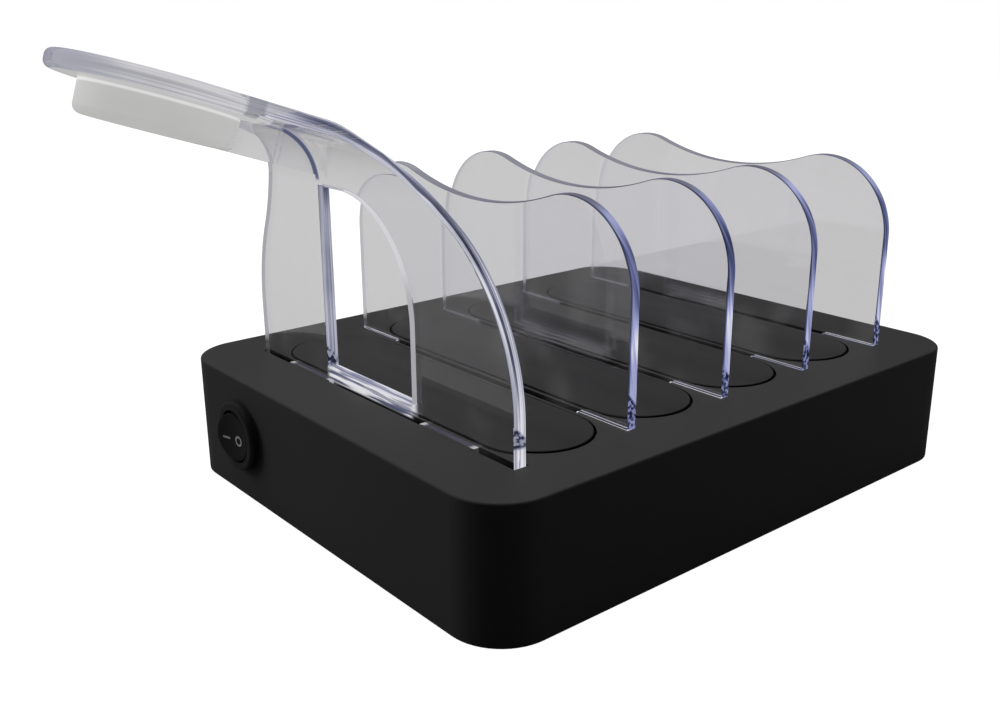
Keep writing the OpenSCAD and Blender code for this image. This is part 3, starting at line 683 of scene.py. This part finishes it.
bpy.ops.object.mode_set(mode="EDIT")
print("soft edges:", pick("edges", sharp_edge))
bpy.ops.mesh.bevel(offset=STAND_SOFT, segments=3, affect="EDGES", clamp_overlap=False)
leave(strip)
steady(strip, STAND_SHARP)


# %% [markdown]
# The stand gets an edge mask, a mask that paints shade under its foot and a grain, as the dividers do. Its
# grain follows the sheet up, round the bend and along the arm. A third mask, for the milky cup, covers the
# faces under the disc that lie within the cup's radius.


# %% Masks of the stand
BEYOND, SLACK, DISC_RIM_W, DISC_RIM_SHARE, FOOT_BIAS = 0.3 * MM, 0.2 * MM, 2 * MM, 0.4, -0.95
bend_length = BEND_R * (math.pi / 2 - RISE)


def from_cup_axis(place):
    away = place - arm(ARM_L, 0)
    height = away.dot(square)
    return height, (away - square * height).length


def cup_share(centre, normal):
    height, radius = from_cup_axis(centre)
    return 1.0 if height < disc_low + SLACK and radius < CUP_R + BEYOND else 0.0


def stand_rim(centre, normal):
    if centre.z < bend.z:
        return sheet_rim(centre, normal)
    height, radius = from_cup_axis(centre)
    if radius < DISC_R + BEYOND:
        return DISC_RIM_SHARE if radius > DISC_R - DISC_RIM_W and height > disc_low - SLACK else 0.0
    outward = (centre - bend) * Vector((1, 0, 1))
    outward = square if outward.dot(along) > 0 else outward.normalized()
    return 1.0 if abs(normal.dot(outward)) < FLAT and abs(centre.y - bend.y) > RIB else 0.0


# Painted shade: the faces under the foot are painted nearly black.
def stand_bias(centre, normal):
    return FOOT_BIAS if normal.z < DOWN and centre.z < DECK + MM else 0.0


def stand_grain(at):
    if at.z < bend.z:
        return at.x - stand_x, at.y, at.z
    away = at - bend
    u, w = away.dot(along), away.dot(square)
    if u > 0:
        return w - BEND_R, at.y, bend.z + bend_length + u
    return math.hypot(u, w) - BEND_R, at.y, bend.z + bend_length - BEND_R * math.atan2(-u, w)


paint(strip, "rim", stand_rim)
paint(strip, "bias", stand_bias)
paint(strip, "milk", cup_share)
lay_grain(strip, stand_grain)
strip.visible_shadow = False
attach(strip, "watch_stand")
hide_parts("watch_stand")
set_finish(strip, "clear_plastic")
print("cup faces:", sum(v.value > 0.5 for v in strip.data.attributes["milk"].data))

# %% [markdown]
# ## The bay pads
# Each bay has a long soft pad with round ends, let into the deck so that only a thin groove shows. A
# plane with its four corners bevelled as vertices becomes the round-ended outline, and its top edge is
# then rolled over.

# %% Pads
low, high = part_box("bay_pad_1")
middle, size = (low + high) / 2, high - low
PROUD, PAD_SOFT, NEARLY = 0.3 * MM, 0.3 * MM, 0.9999
pad = begin("soft_pad", bpy.ops.mesh.primitive_plane_add, size=1,
            location=(middle.x, middle.y, low.z + LIFT))
bpy.ops.transform.resize(value=(size.x, size.y, 1))
bpy.ops.mesh.bevel(offset=size.x / 2 * NEARLY, segments=24, affect="VERTICES")
extrude((0, 0, size.z - LIFT + PROUD))
pick("edges", lambda e: all(v.co.z > high.z for v in e.verts))
bpy.ops.mesh.bevel(offset=PAD_SOFT, segments=3, affect="EDGES")
face_out()
leave(pad, SHARP)
pads = copies(pad, [f"bay_pad_{n}" for n in BAYS])
for n, piece in zip(BAYS, pads):
    piece.name = f"soft_pad_{n}"
    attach(piece, "base")
    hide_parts(f"bay_pad_{n}")
    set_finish(piece, "pad_black")
print("pads are", round(size.x / MM, 2), "by", round(size.y / MM, 2), "mm")

# %% [markdown]
# ## The rocker
# The switch's rocker is a round key with a hollow face, so that a finger finds either half. A sphere
# could be cut to it, but the cut would leave slivers along the rim, so it starts as a blunt cone with a
# clean round rim. The rim is bevelled, the face is inset to rings that can follow a curve, and a bend
# hollows it. One matrix then stands it in the switch, with the half marked by the ring pressed in.

# %% Rocker
joint = next(j for j in frame["joints"] if j["name"] == "rocker_turn")
PIVOT = Vector(joint["pos_m"])
TILT, FACE_UP, BELLY, FACE_R, ROOT_R = math.radians(11), 1.9 * MM, 2.5 * MM, 6.1 * MM, 5.2 * MM
KEY_SOFT, KEY_SHARP, RINGS, RING_W = 0.3 * MM, 40, 8, 0.65 * MM
rocker = begin("rocker", bpy.ops.mesh.primitive_cone_add, vertices=96, radius1=ROOT_R, radius2=FACE_R,
               depth=FACE_UP + BELLY, location=(0, (FACE_UP - BELLY) / 2, 0),
               rotation=(math.radians(-90), 0, 0))
pick("edges", lambda e: all(v.co.y > FACE_UP - 0.01 * MM for v in e.verts))
bpy.ops.mesh.bevel(offset=KEY_SOFT, segments=4, affect="EDGES")
pick("faces", lambda f: f.normal.y > 0.999)
for _ in range(RINGS):
    bpy.ops.mesh.inset(thickness=RING_W)
bpy.ops.object.mode_set(mode="OBJECT")
hollow = rocker.modifiers.new("hollow_face", "SIMPLE_DEFORM")
hollow.deform_method, hollow.deform_axis, hollow.angle = "BEND", "Z", 2 * TILT
bpy.ops.object.modifier_apply(modifier=hollow.name)
bpy.ops.object.shade_smooth_by_angle(angle=math.radians(KEY_SHARP))
lie_down = Matrix(((0, 0, 1, 0), (1, 0, 0, 0), (0, 1, 0, 0), (0, 0, 0, 1)))
in_switch = (Matrix.Translation(PIVOT) @ Matrix.Rotation(math.radians(-90), 4, "Y")
             @ Matrix.Rotation(TILT, 4, "X"))
HOLLOW_R = FACE_R / TILT
print("the face is hollowed to a radius of", round(HOLLOW_R / MM, 1), "mm")


# %% [markdown]
# The two marks are printed on the real key. Here each is a paper-thin piece that follows the slope of the
# face: a bar from a plane with rounded corners, and a ring from a disc whose middle is inset and deleted.


# %% Marks on the rocker
BAR_W, BAR_L, BAR_Y, RING_R, RING_LINE, RING_Y = (v * MM for v in (0.5, 2.6, 2.5, 1.3, 0.45, -2))
MARK_X, PRINT = -0.5 * MM, 0.06 * MM


def on_rocker(piece, y):
    bpy.ops.mesh.select_all(action="SELECT")
    extrude((0, 0, PRINT))
    face_out()
    leave(piece, SHARP)
    slant = math.asin(y / (HOLLOW_R - FACE_UP))
    height = HOLLOW_R - (HOLLOW_R - FACE_UP) * math.cos(slant)
    place = Matrix.Translation((MARK_X, y, height)) @ Matrix.Rotation(slant, 4, "X")
    piece.matrix_world = in_switch @ place
    settle()


bar = begin("mark_bar", bpy.ops.mesh.primitive_plane_add, size=1)
bpy.ops.transform.resize(value=(BAR_W, BAR_L, 1))
bpy.ops.mesh.bevel(offset=BAR_W / 2, segments=6, affect="VERTICES")
on_rocker(bar, BAR_Y)
ring = begin("mark_ring", bpy.ops.mesh.primitive_circle_add, vertices=48, radius=RING_R, fill_type="NGON")
bpy.ops.mesh.inset(thickness=RING_LINE)
bpy.ops.mesh.delete(type="FACE")
on_rocker(ring, RING_Y)
take(rocker)
rocker.matrix_world = in_switch @ lie_down
settle()
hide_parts("switch_rocker")
for piece in (rocker, bar, ring):
    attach(piece, "switch_rocker")
    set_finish(piece, "switch_black")
print("rocker pivot at", [round(v / MM, 2) for v in PIVOT], "mm")

# %% [markdown]
# ## Finishes
# Moulded plastic is never one flat colour: a fine grain breaks up its gloss and its tone drifts a little
# over the piece. Noise on Object coordinates gives both, in real sizes, and keeps them still when a piece
# moves. The grooves round the pads and the slots in the deck swallow the light, so the shade in those
# recesses is painted on in black.


# %% Tools for finishes
def place_of(wire):
    return wire.node("ShaderNodeTexCoord", out=3)


def parts_of(wire, vector):
    split = wire.node("ShaderNodeSeparateXYZ", None, {"Vector": vector})
    return [Wire(wire.tree, o) for o in split.socket.node.outputs]


def cloud(wire, size, detail=2.0, stretch=(1, 1, 1)):
    where = wire.node("ShaderNodeMapping", {"vector_type": "POINT"},
                      {"Vector": place_of(wire), "Scale": stretch})
    return wire.node("ShaderNodeTexNoise", None, {"Vector": where, "Scale": 1 / size, "Detail": detail})


def bump(wire, strength, depth, height):
    return wire.node("ShaderNodeBump", None, {"Strength": strength, "Distance": depth, "Height": height})


DRIFT, SHELL_EDGE = 30 * MM, 5 * MM


def moulded(name, dark, light, rough, spread, grain, depth, gloss=0.5, painted_shade=None):
    finish, wire = new_finish(name)
    fine, broad = cloud(wire, grain), cloud(wire, DRIFT)
    colour = (fine * 0.5 + broad * 0.5).blend(rgb(*dark), rgb(*light))
    # Where the mask is set, the shade in recesses is painted on as near-black colour.
    if painted_shade:
        colour = painted_shade(*parts_of(wire, place_of(wire))).blend(colour, grey(0.0005))
    close_finish(wire, wire.node("ShaderNodeBsdfPrincipled", None, {
        "Base Color": colour, "Roughness": fine * spread + (rough - spread / 2),
        "Normal": bump(wire, 0.6, depth, fine), "Specular IOR Level": gloss}))
    return finish


# Painted shade: black below the deck inside the shell's outline, in the slots and the pad pockets.
def shell_recess_shade(x, y, z):
    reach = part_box("top_shell")[1] - Vector((SHELL_EDGE, SHELL_EDGE, 0))
    far_x, far_y = (abs(v).step(end - MM, end) for v, end in ((x, reach.x), (y, reach.y)))
    return (1 - far_x) * (1 - far_y) * (1 - z.step(DECK - 0.25 * MM, DECK - 0.08 * MM))


# Painted shade: the pad is painted black below its top, down its sides in the groove.
def pad_groove_shade(x, y, z):
    return 1 - z.step(DECK + PROUD - 0.22 * MM, DECK + PROUD - 0.06 * MM)


print("tone drifts over", DRIFT / MM, "mm")

# %% [markdown]
# Each row of the table is one plastic: its dark and light tone, its roughness and how far that spreads,
# the size of its grain, the depth of the grain's bump and, where it isn't usual, its gloss and a mask of
# painted shade in its recesses.

# %% Plastic finishes
finishes = {
    "housing_black": moulded("matte_black_shell", (0.020, 0.0195, 0.0195), (0.026, 0.0255, 0.0255),
                             0.62, 0.14, 0.35 * MM, 0.02 * MM, 0.15, shell_recess_shade),
    "cover_black": moulded("matte_black_cover", (0.012, 0.012, 0.012), (0.018, 0.018, 0.018),
                           0.6, 0.16, 0.5 * MM, 0.02 * MM, 0.35),
    "pad_black": moulded("soft_pad_rubber", (0.018, 0.0175, 0.018), (0.023, 0.0225, 0.023),
                         0.75, 0.12, 0.25 * MM, 0.03 * MM, 0.15, pad_groove_shade),
    "switch_black": moulded("satin_switch_black", (0.009, 0.009, 0.009), (0.013, 0.013, 0.013),
                            0.55, 0.1, 0.3 * MM, 0.008 * MM, 0.2),
    "foot_rubber": moulded("foot_rubber", (0.02, 0.02, 0.02), (0.035, 0.035, 0.035),
                           0.85, 0.1, 0.4 * MM, 0.04 * MM, 0.3),
    "port_plastic": moulded("port_plastic", (0.008, 0.008, 0.008), (0.014, 0.014, 0.014),
                            0.45, 0.1, 0.3 * MM, 0.01 * MM),
    "ferrite": moulded("ferrite", (0.03, 0.03, 0.033), (0.06, 0.06, 0.065),
                       0.6, 0.2, 0.4 * MM, 0.03 * MM),
    "winding_tape": moulded("winding_tape", (0.5, 0.35, 0.05), (0.7, 0.5, 0.1),
                            0.35, 0.2, 1.5 * MM, 0.02 * MM),
    "can_sleeve": moulded("can_sleeve", (0.02, 0.025, 0.05), (0.04, 0.05, 0.1),
                          0.3, 0.15, 1.2 * MM, 0.01 * MM),
    "fuse_body": moulded("fuse_body", (0.6, 0.6, 0.58), (0.75, 0.75, 0.72),
                         0.25, 0.15, 1.0 * MM, 0.01 * MM),
    "mains_wire": moulded("mains_wire", (0.16, 0.06, 0.02), (0.24, 0.09, 0.04),
                          0.4, 0.15, 0.8 * MM, 0.02 * MM),
    "low_voltage_wire": moulded("low_voltage_wire", (0.4, 0.02, 0.02), (0.55, 0.04, 0.03),
                                0.4, 0.15, 0.8 * MM, 0.02 * MM),
}
rocker_black = moulded("rocker_black", (0.005, 0.005, 0.005), (0.008, 0.008, 0.008),
                       0.5, 0.1, 0.3 * MM, 0.008 * MM, 0.25)
mark_paint = moulded("mark_paint", (0.22, 0.22, 0.23), (0.32, 0.32, 0.33),
                     0.6, 0.2, 0.2 * MM, 0.01 * MM)
print("plastic finishes:", len(finishes))


# %% [markdown]
# The screws, port shells, pins and heat sink are bare metal. Rolling and drawing leave fine lines in one
# direction, so one noise is stretched that way and moves the tone, the gloss and a slight bump together.
# The boards are green lacquer over copper tracks, and the borders of Voronoi cells draw such a web
# without a picture.


# %% Metal and board finishes
DRAWN_LINES = 1.2 * MM


def metal(name, dark, light, rough, stretch):
    finish, wire = new_finish(name)
    lines = cloud(wire, DRAWN_LINES, 4.0, stretch)
    close_finish(wire, wire.node("ShaderNodeBsdfPrincipled", None, {
        "Base Color": lines.blend(rgb(*dark), rgb(*light)), "Metallic": 1.0,
        "Roughness": lines * 0.2 + (rough - 0.1),
        "Normal": bump(wire, 0.3, 0.01 * MM, lines)}))
    return finish


for slot, dark, light, rough, stretch in (
        ("screw_steel", (0.4, 0.4, 0.4), (0.6, 0.6, 0.6), 0.35, (1, 1, 6)),
        ("port_metal", (0.5, 0.5, 0.5), (0.68, 0.68, 0.67), 0.3, (1, 8, 1)),
        ("contact_metal", (0.6, 0.42, 0.16), (0.78, 0.58, 0.26), 0.3, (1, 6, 1)),
        ("sink_aluminium", (0.55, 0.56, 0.57), (0.72, 0.73, 0.74), 0.4, (1, 1, 8))):
    finishes[slot] = metal(slot, dark, light, rough, stretch)

finish, wire = new_finish("board_green")
cells = wire.node("ShaderNodeTexVoronoi", {"feature": "DISTANCE_TO_EDGE"},
                  {"Vector": place_of(wire), "Scale": 350.0})
tracks = cells.step(0.05, 0.12)
close_finish(wire, wire.node("ShaderNodeBsdfPrincipled", None, {
    "Base Color": tracks.blend(rgb(0.02, 0.16, 0.06), rgb(0.01, 0.07, 0.03)),
    "Roughness": tracks * 0.15 + 0.25,
    "Normal": bump(wire, 0.4, 0.03 * MM, 1 - tracks)}))
finishes["board_green"] = finish
print("finishes:", len(finishes))

# %% [markdown]
# ## Clear plastic
# The flat faces are plain clear plastic with a breath of haze. The edges glow with the light that has run
# through the sheet, from deep blue over lavender to white. A glass shader alone leaves them black,
# because its rays get lost inside, so the edges mix in a shader that paints this light on as emission, a
# painted glow. Seen from inside, through the sheet, an edge is only a painted pale line, as bright as the
# room behind, and it is lost in the dark just above the deck.


# %% Light in the edges
HAZE, EDGE_SHARE = 18 * MM, 0.94


def drawn_noise(wire, x, y, z, detail=2.0):
    where = wire.node("ShaderNodeCombineXYZ", None, {"X": x, "Y": y, "Z": z})
    return wire.node("ShaderNodeTexNoise", None, {"Vector": where, "Scale": 1.0, "Detail": detail})


def attribute(wire, name, out=2):
    return wire.node("ShaderNodeAttribute", {"attribute_name": name}, out=out)


def edge_light(wire, haze, glow_colours, glow_level_of, back):
    rim, bias, calm = (attribute(wire, n) for n in ("rim", "bias", "calm"))
    across, y, z = parts_of(wire, attribute(wire, "grain", 1))
    side, height = parts_of(wire, place_of(wire))[1:]
    # Painted light: the calm edges along the top glow grey-violet, darker towards the front.
    wave = side.step(-30 * MM, 30 * MM).blend(haze.blend(rgb(0.09, 0.09, 0.12), rgb(0.13, 0.13, 0.17)),
                                              haze.blend(rgb(0.2, 0.2, 0.23), rgb(0.27, 0.27, 0.3)))
    sunk = (1 - (height - DECK).step(2 * MM, 5 * MM)) * abs(side).step(25 * MM, 35 * MM)
    free = 1 - abs(bias)
    inside = wire.node("ShaderNodeNewGeometry", out=6) * free
    tone = glow_level_of(wire, across, y, z) * free + bias.larger(0.0)
    glow = wire.node("ShaderNodeValToRGB", {"stops": glow_colours}, {"Fac": tone})
    # The pale line seen from inside is painted at about the brightness of the room behind.
    pale, paler = (rgb(back + d, back + d, back + d + 0.02) for d in (-0.04, 0.04))
    glow = inside.blend(calm.blend(glow, wave), haze.blend(pale, paler))
    return tone, glow, rim * (EDGE_SHARE - inside * sunk * 0.84 - calm * 0.05)


# Colours of the painted edge glow, from dark to bright.
plate_glow_colours = [(0.0, rgb(0.004, 0.006, 0.02)), (0.15, rgb(0.03, 0.036, 0.08)), (0.3, rgb(0.07, 0.085, 0.2)),
               (0.45, rgb(0.155, 0.17, 0.34)), (0.6, rgb(0.28, 0.3, 0.51)), (0.75, rgb(0.4, 0.42, 0.68)),
               (1.0, rgb(0.95, 0.95, 0.96))]
stand_glow_colours = [(0.0, rgb(0.008, 0.01, 0.025)), (0.2, rgb(0.05, 0.056, 0.11)), (0.4, rgb(0.19, 0.2, 0.28)),
               (0.6, rgb(0.36, 0.365, 0.45)), (0.8, rgb(0.53, 0.53, 0.61)), (1.0, rgb(0.9, 0.9, 0.92))]
print("edge colours:", len(plate_glow_colours), "and", len(stand_glow_colours))


# %% [markdown]
# A sheet mixes four shaders: the clear plastic itself, a thin film of haze on it, the edge with its painted
# glow, and the milky plastic of the cup under the disc, where wandering light is painted on as an even glow.


# %% Clear sheet
def mixed(wire, share, first, second):
    return wire.node("ShaderNodeMixShader", None, {0: share, 1: first, 2: second})


def clear_sheet(name, glow_colours, glow_level_of, back, extras=None):
    finish, wire = new_finish(name)
    haze, milk = cloud(wire, HAZE, 3.0), attribute(wire, "milk")
    satin = haze * 0.2 + 0.5
    tone, glow, share = edge_light(wire, haze, glow_colours, glow_level_of, back)
    # Painted glow of the milky cup, carried by the frosted shader's emission.
    milky = haze.blend(rgb(0.42, 0.42, 0.415), rgb(0.48, 0.48, 0.475))
    if extras:
        glow, share, milky, milk = extras(wire, glow, share, milky, milk)
    clear = wire.node("ShaderNodeBsdfPrincipled", None, {
        "Base Color": haze.blend(rgb(0.955, 0.95, 0.965), rgb(0.975, 0.97, 0.985)), "Roughness": 0.0,
        "Transmission Weight": 1.0, "IOR": 1.49})
    film = wire.node("ShaderNodeBsdfPrincipled", None, {
        "Base Color": haze.blend(rgb(0.7, 0.72, 0.72), rgb(0.8, 0.8, 0.82)), "Roughness": satin})
    # The edge's emission carries the painted glow, and its base colour darkens along with it.
    edge = wire.node("ShaderNodeBsdfPrincipled", None, {
        "Base Color": tone.blend(grey(0.001), rgb(0.07, 0.07, 0.1)), "Roughness": haze * 0.2 + 0.2,
        "Specular IOR Level": 0.0, "Emission Color": glow, "Emission Strength": 1.0})
    frosted = wire.node("ShaderNodeBsdfPrincipled", None, {
        "Base Color": haze.blend(grey(0.1), grey(0.16)), "Roughness": satin,
        "Specular IOR Level": 0.2, "Emission Color": milky, "Emission Strength": 1.0})
    body = mixed(wire, haze.step(0.5, 0.72) * 0.03, clear, film)
    close_finish(wire, mixed(wire, milk, mixed(wire, share, body, edge), frosted))
    return finish


print("a clear sheet mixes its edges in at", EDGE_SHARE)

# %% [markdown]
# On a divider the painted edge light changes with the height: lavender up to the middle, deep blue where
# the edge begins to curve over, then pale again, with slanting streaks, a painted dark line on the left and
# a broken, sparkling foot of painted light and shade.


# %% Clear plates
# Painted light and shade at the foot: a mottle of dark and bright flecks in the edge's glow.
def painted_foot_sparkle(wire, across, y, z):
    grains = drawn_noise(wire, across * (1 / (0.9 * MM)), y * 100, z * (1 / (1.2 * MM)), 3.0)
    return grains.step(0.42, 0.58) * 0.5 + 0.03


def patches(wire, across, y, z):
    return drawn_noise(wire, across * 100, y * 70, z * 70, 1.0).step(0.35, 0.65)


def plate_glow_level(wire, across, y, z):
    up, patch = z - DECK, patches(wire, across, y, z)
    streak = drawn_noise(wire, (across + z * 0.15) * (1 / (1.1 * MM)), y * 38, z * 38).step(0.32, 0.68)
    # Painted light by height: deep blue where the edge curves over, paler again near the top.
    blue, pale = up.step(18 * MM, 28 * MM), up.step(36 * MM, 44 * MM)
    tone = 0.68 - blue * 0.36 + pale * 0.28 + (streak - 0.5) * 0.34 + (patch - 0.5) * 0.14
    # Painted shade along the edge's left side, and a little painted light along its right.
    past_line, right_side = across.step(-1.2 * MM, -0.75 * MM), across.step(0.8 * MM, 1.15 * MM)
    tone = tone * (past_line * 0.7 + 0.3) + right_side * 0.1
    foot = 1 - (up + across * 1.3).step(6 * MM, 7.2 * MM)
    return tone * (1 - foot) + painted_foot_sparkle(wire, across, y, z) * foot


finishes["clear_plastic"] = clear_sheet("clear_plate", plate_glow_colours, plate_glow_level, back=0.52)
print("clear plates ready")


# %% [markdown]
# The stand's painted edge light is paler, with fine lines along its edge, a painted dark line up its front
# and a painted dark band that follows the bend. Its foot gets the same painted sparkle of light and shade.


# %% Edge of the stand
def near(value, inner, outer):
    return 1 - abs(value).step(inner * MM, outer * MM)


def between(value, rise, full, fall, gone):
    return value.step(rise, full) * (1 - value.step(fall, gone))


def stand_glow_level(wire, across, y, z):
    up, past, patch = z - DECK, z - bend.z, patches(wire, across, y, z)
    streak = drawn_noise(wire, across * (1 / (0.4 * MM)), y * 20, z * 20, 3.0).step(0.36, 0.64)
    in_front = 1 - y.step(FRONT - 4 * MM, FRONT - MM)
    # Painted shade: a dark line up the front edge and a dark band round the bend.
    line = near(across + 0.3 * MM, 0.2, 0.5) * up.step(8 * MM, 20 * MM) * in_front
    band = near(across - 0.35 * MM, 0.5, 0.95) * between(past, -8 * MM, 0, 20 * MM, 32 * MM)
    # Painted shade where the arm meets the disc, and a little less painted light along the window's back edge.
    disc_join_shade = between(past, 33 * MM, 34 * MM, 37 * MM, 38 * MM)
    jamb = near(y - BACK, 0.5, 1.5)
    tone = 0.66 - jamb * 0.1 + (streak - 0.5) * (0.5 - jamb * 0.2) + (patch - 0.5) * 0.12
    tone = (tone - line * (0.5 - patch * 0.3)) * (1 - band * 0.6) * (1 - disc_join_shade * 0.6)
    foot = up.step(3.4 * MM, 4.4 * MM) * (1 - (up + across).step(6.5 * MM, 7.5 * MM))
    return tone * (1 - foot) + painted_foot_sparkle(wire, across, y, z) * foot


print("the band follows the bend for", round(bend_length / MM, 1), "mm")


# %% [markdown]
# Light inside the moulding is painted too. The bar under its window gets a painted white shine with a few
# dark lines, the ends of the tabs get painted glints, and painted dark lines show where the rib meets the arm
# and the bend. Each is a mask on Object coordinates; u and w are again the ways out along the arm and
# square on it.


# %% Light inside the stand
# The first colour is that of the painted dark lines inside the stand.
PAINTED_DARK_BLUE, CREASE_UP, POST_U, POST_HALF = rgb(0.08, 0.09, 0.17), 14 * MM, -2.1 * MM, 0.6 * MM


def distance(wire, a, b):
    return wire.math("SQRT", a * a + b * b)


def sill_and_tab_glints(wire, x, y, z, glow, share):
    sill = between(z, DECK + 0.1 * MM, DECK + 0.8 * MM, DECK + SILL - 0.3 * MM, DECK + SILL + 0.3 * MM)
    sill = sill * between(y, FRONT - MM, FRONT + MM, BACK - MM, BACK + MM)
    lines = drawn_noise(wire, x * 500, y * 55, z * (1 / (0.8 * MM))).step(0.42, 0.56)
    # Painted highlight: the bar under the window shines white, crossed by painted dark lines.
    glow = sill.blend(glow, lines.blend(PAINTED_DARK_BLUE, rgb(0.74, 0.74, 0.75)))
    aside = abs(y)
    # Painted glints at the ends of the tabs, just above the deck.
    ends = near(z - DECK, 0.1, 0.2) * (near(aside - TAB_OUT, 0.5, 2) + near(aside - TAB_IN, 0.5, 2))
    return ends.blend(glow, rgb(0.5, 0.5, 0.52)), share.larger(sill * (lines * 0.3 + 0.6))


def rib_shade_lines(wire, y, dx, dz, u, w):
    # Painted dark lines where the rib meets the bend and the arm.
    arc = near(distance(wire, dx, dz) - (BEND_R - THICK / 2 - 0.3 * MM), 0.25, 0.6)
    arc = arc * dz.step(0.5 * MM, 1.5 * MM) * dx.step(5 * MM, 7 * MM)
    crease = near(w - CREASE_UP, 0.15, 0.4) * between(u, -3.5 * MM, -3 * MM, 7 * MM, 8 * MM) * 0.7
    post = near(abs(u - POST_U) - POST_HALF, 0.1, 0.3) * w.step(CUP_LOW, CUP_LOW + 2 * MM) * 0.35
    return near(y - (bend.y - RIB / 2), 0.5, 1) * arc.larger(crease.larger(post))


print("the bar under the window is", SILL / MM, "mm high")


# %% [markdown]
# Last, the window's round corner gets a painted glint, the tip of the disc a painted lavender light, and the
# milky cup a painted bright line under the disc; the cup is clearer towards the bend.


# %% Clear moulding
def stand_painted_light(wire, glow, share, milky, milk):
    x, y, z = parts_of(wire, place_of(wire))
    glow, share = sill_and_tab_glints(wire, x, y, z, glow, share)
    # Painted glint along the window's round corner.
    side, rise = y - (FRONT + CORNER), z - (DECK + TOP - CORNER)
    corner_glint = near(distance(wire, side, rise) - CORNER, 0.5, 0.8)
    corner_glint = corner_glint * rise.step(4 * MM, 14 * MM) * (1 - side.step(-MM, 0))
    dx, dz = x - bend.x, z - bend.z
    u, w = dx * along.x + dz * along.z, dx * square.x + dz * square.z
    dark = rib_shade_lines(wire, y, dx, dz, u, w)
    # Painted lavender light at the tip of the disc.
    tip = u.step(ARM_L + 12 * MM, ARM_L + DISC_R)
    glow = corner_glint.blend(tip.blend(glow, rgb(0.25, 0.25, 0.33)), rgb(0.66, 0.66, 0.67))
    share = share * (corner_glint * 0.7 + tip * 0.8 + 1)
    # Painted bright line on the cup just under the disc.
    milky = near(w - (disc_low - 0.6 * MM), 0.1, 0.5).blend(milky, grey(0.66))
    milk = milk * (u.step(ARM_L - CUP_R, ARM_L - CUP_R + 10 * MM) * 0.55 + 0.4)
    return dark.blend(glow, PAINTED_DARK_BLUE), share.larger(dark), milky, milk


clear_moulding = clear_sheet("clear_moulding", stand_glow_colours, stand_glow_level, back=0.42, extras=stand_painted_light)
print("clear moulding ready")

# %% [markdown]
# ## Dressing the pieces
# Each CAD node names its material slot in the record, so one pass over the record dresses the solids. The
# new pieces take the finish of the slot that they stand for, apart from the stand, the rocker and its two
# marks.

# %% Give every piece its finish
slot_of = {p["node"]: p["material_slot"] for p in frame["record"]["subparts"]}
for name, node in frame["nodes"].items():
    node.data.materials.clear()
    node.data.materials.append(finishes[slot_of[name]])
own = {strip: clear_moulding, rocker: rocker_black, bar: mark_paint, ring: mark_paint}
for piece in dividers + [strip] + pads + [rocker, bar, ring]:
    piece.data.materials.clear()
    piece.data.materials.append(own.get(piece) or finishes[piece["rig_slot"]])
print("dressed", len(frame["nodes"]), "CAD nodes")
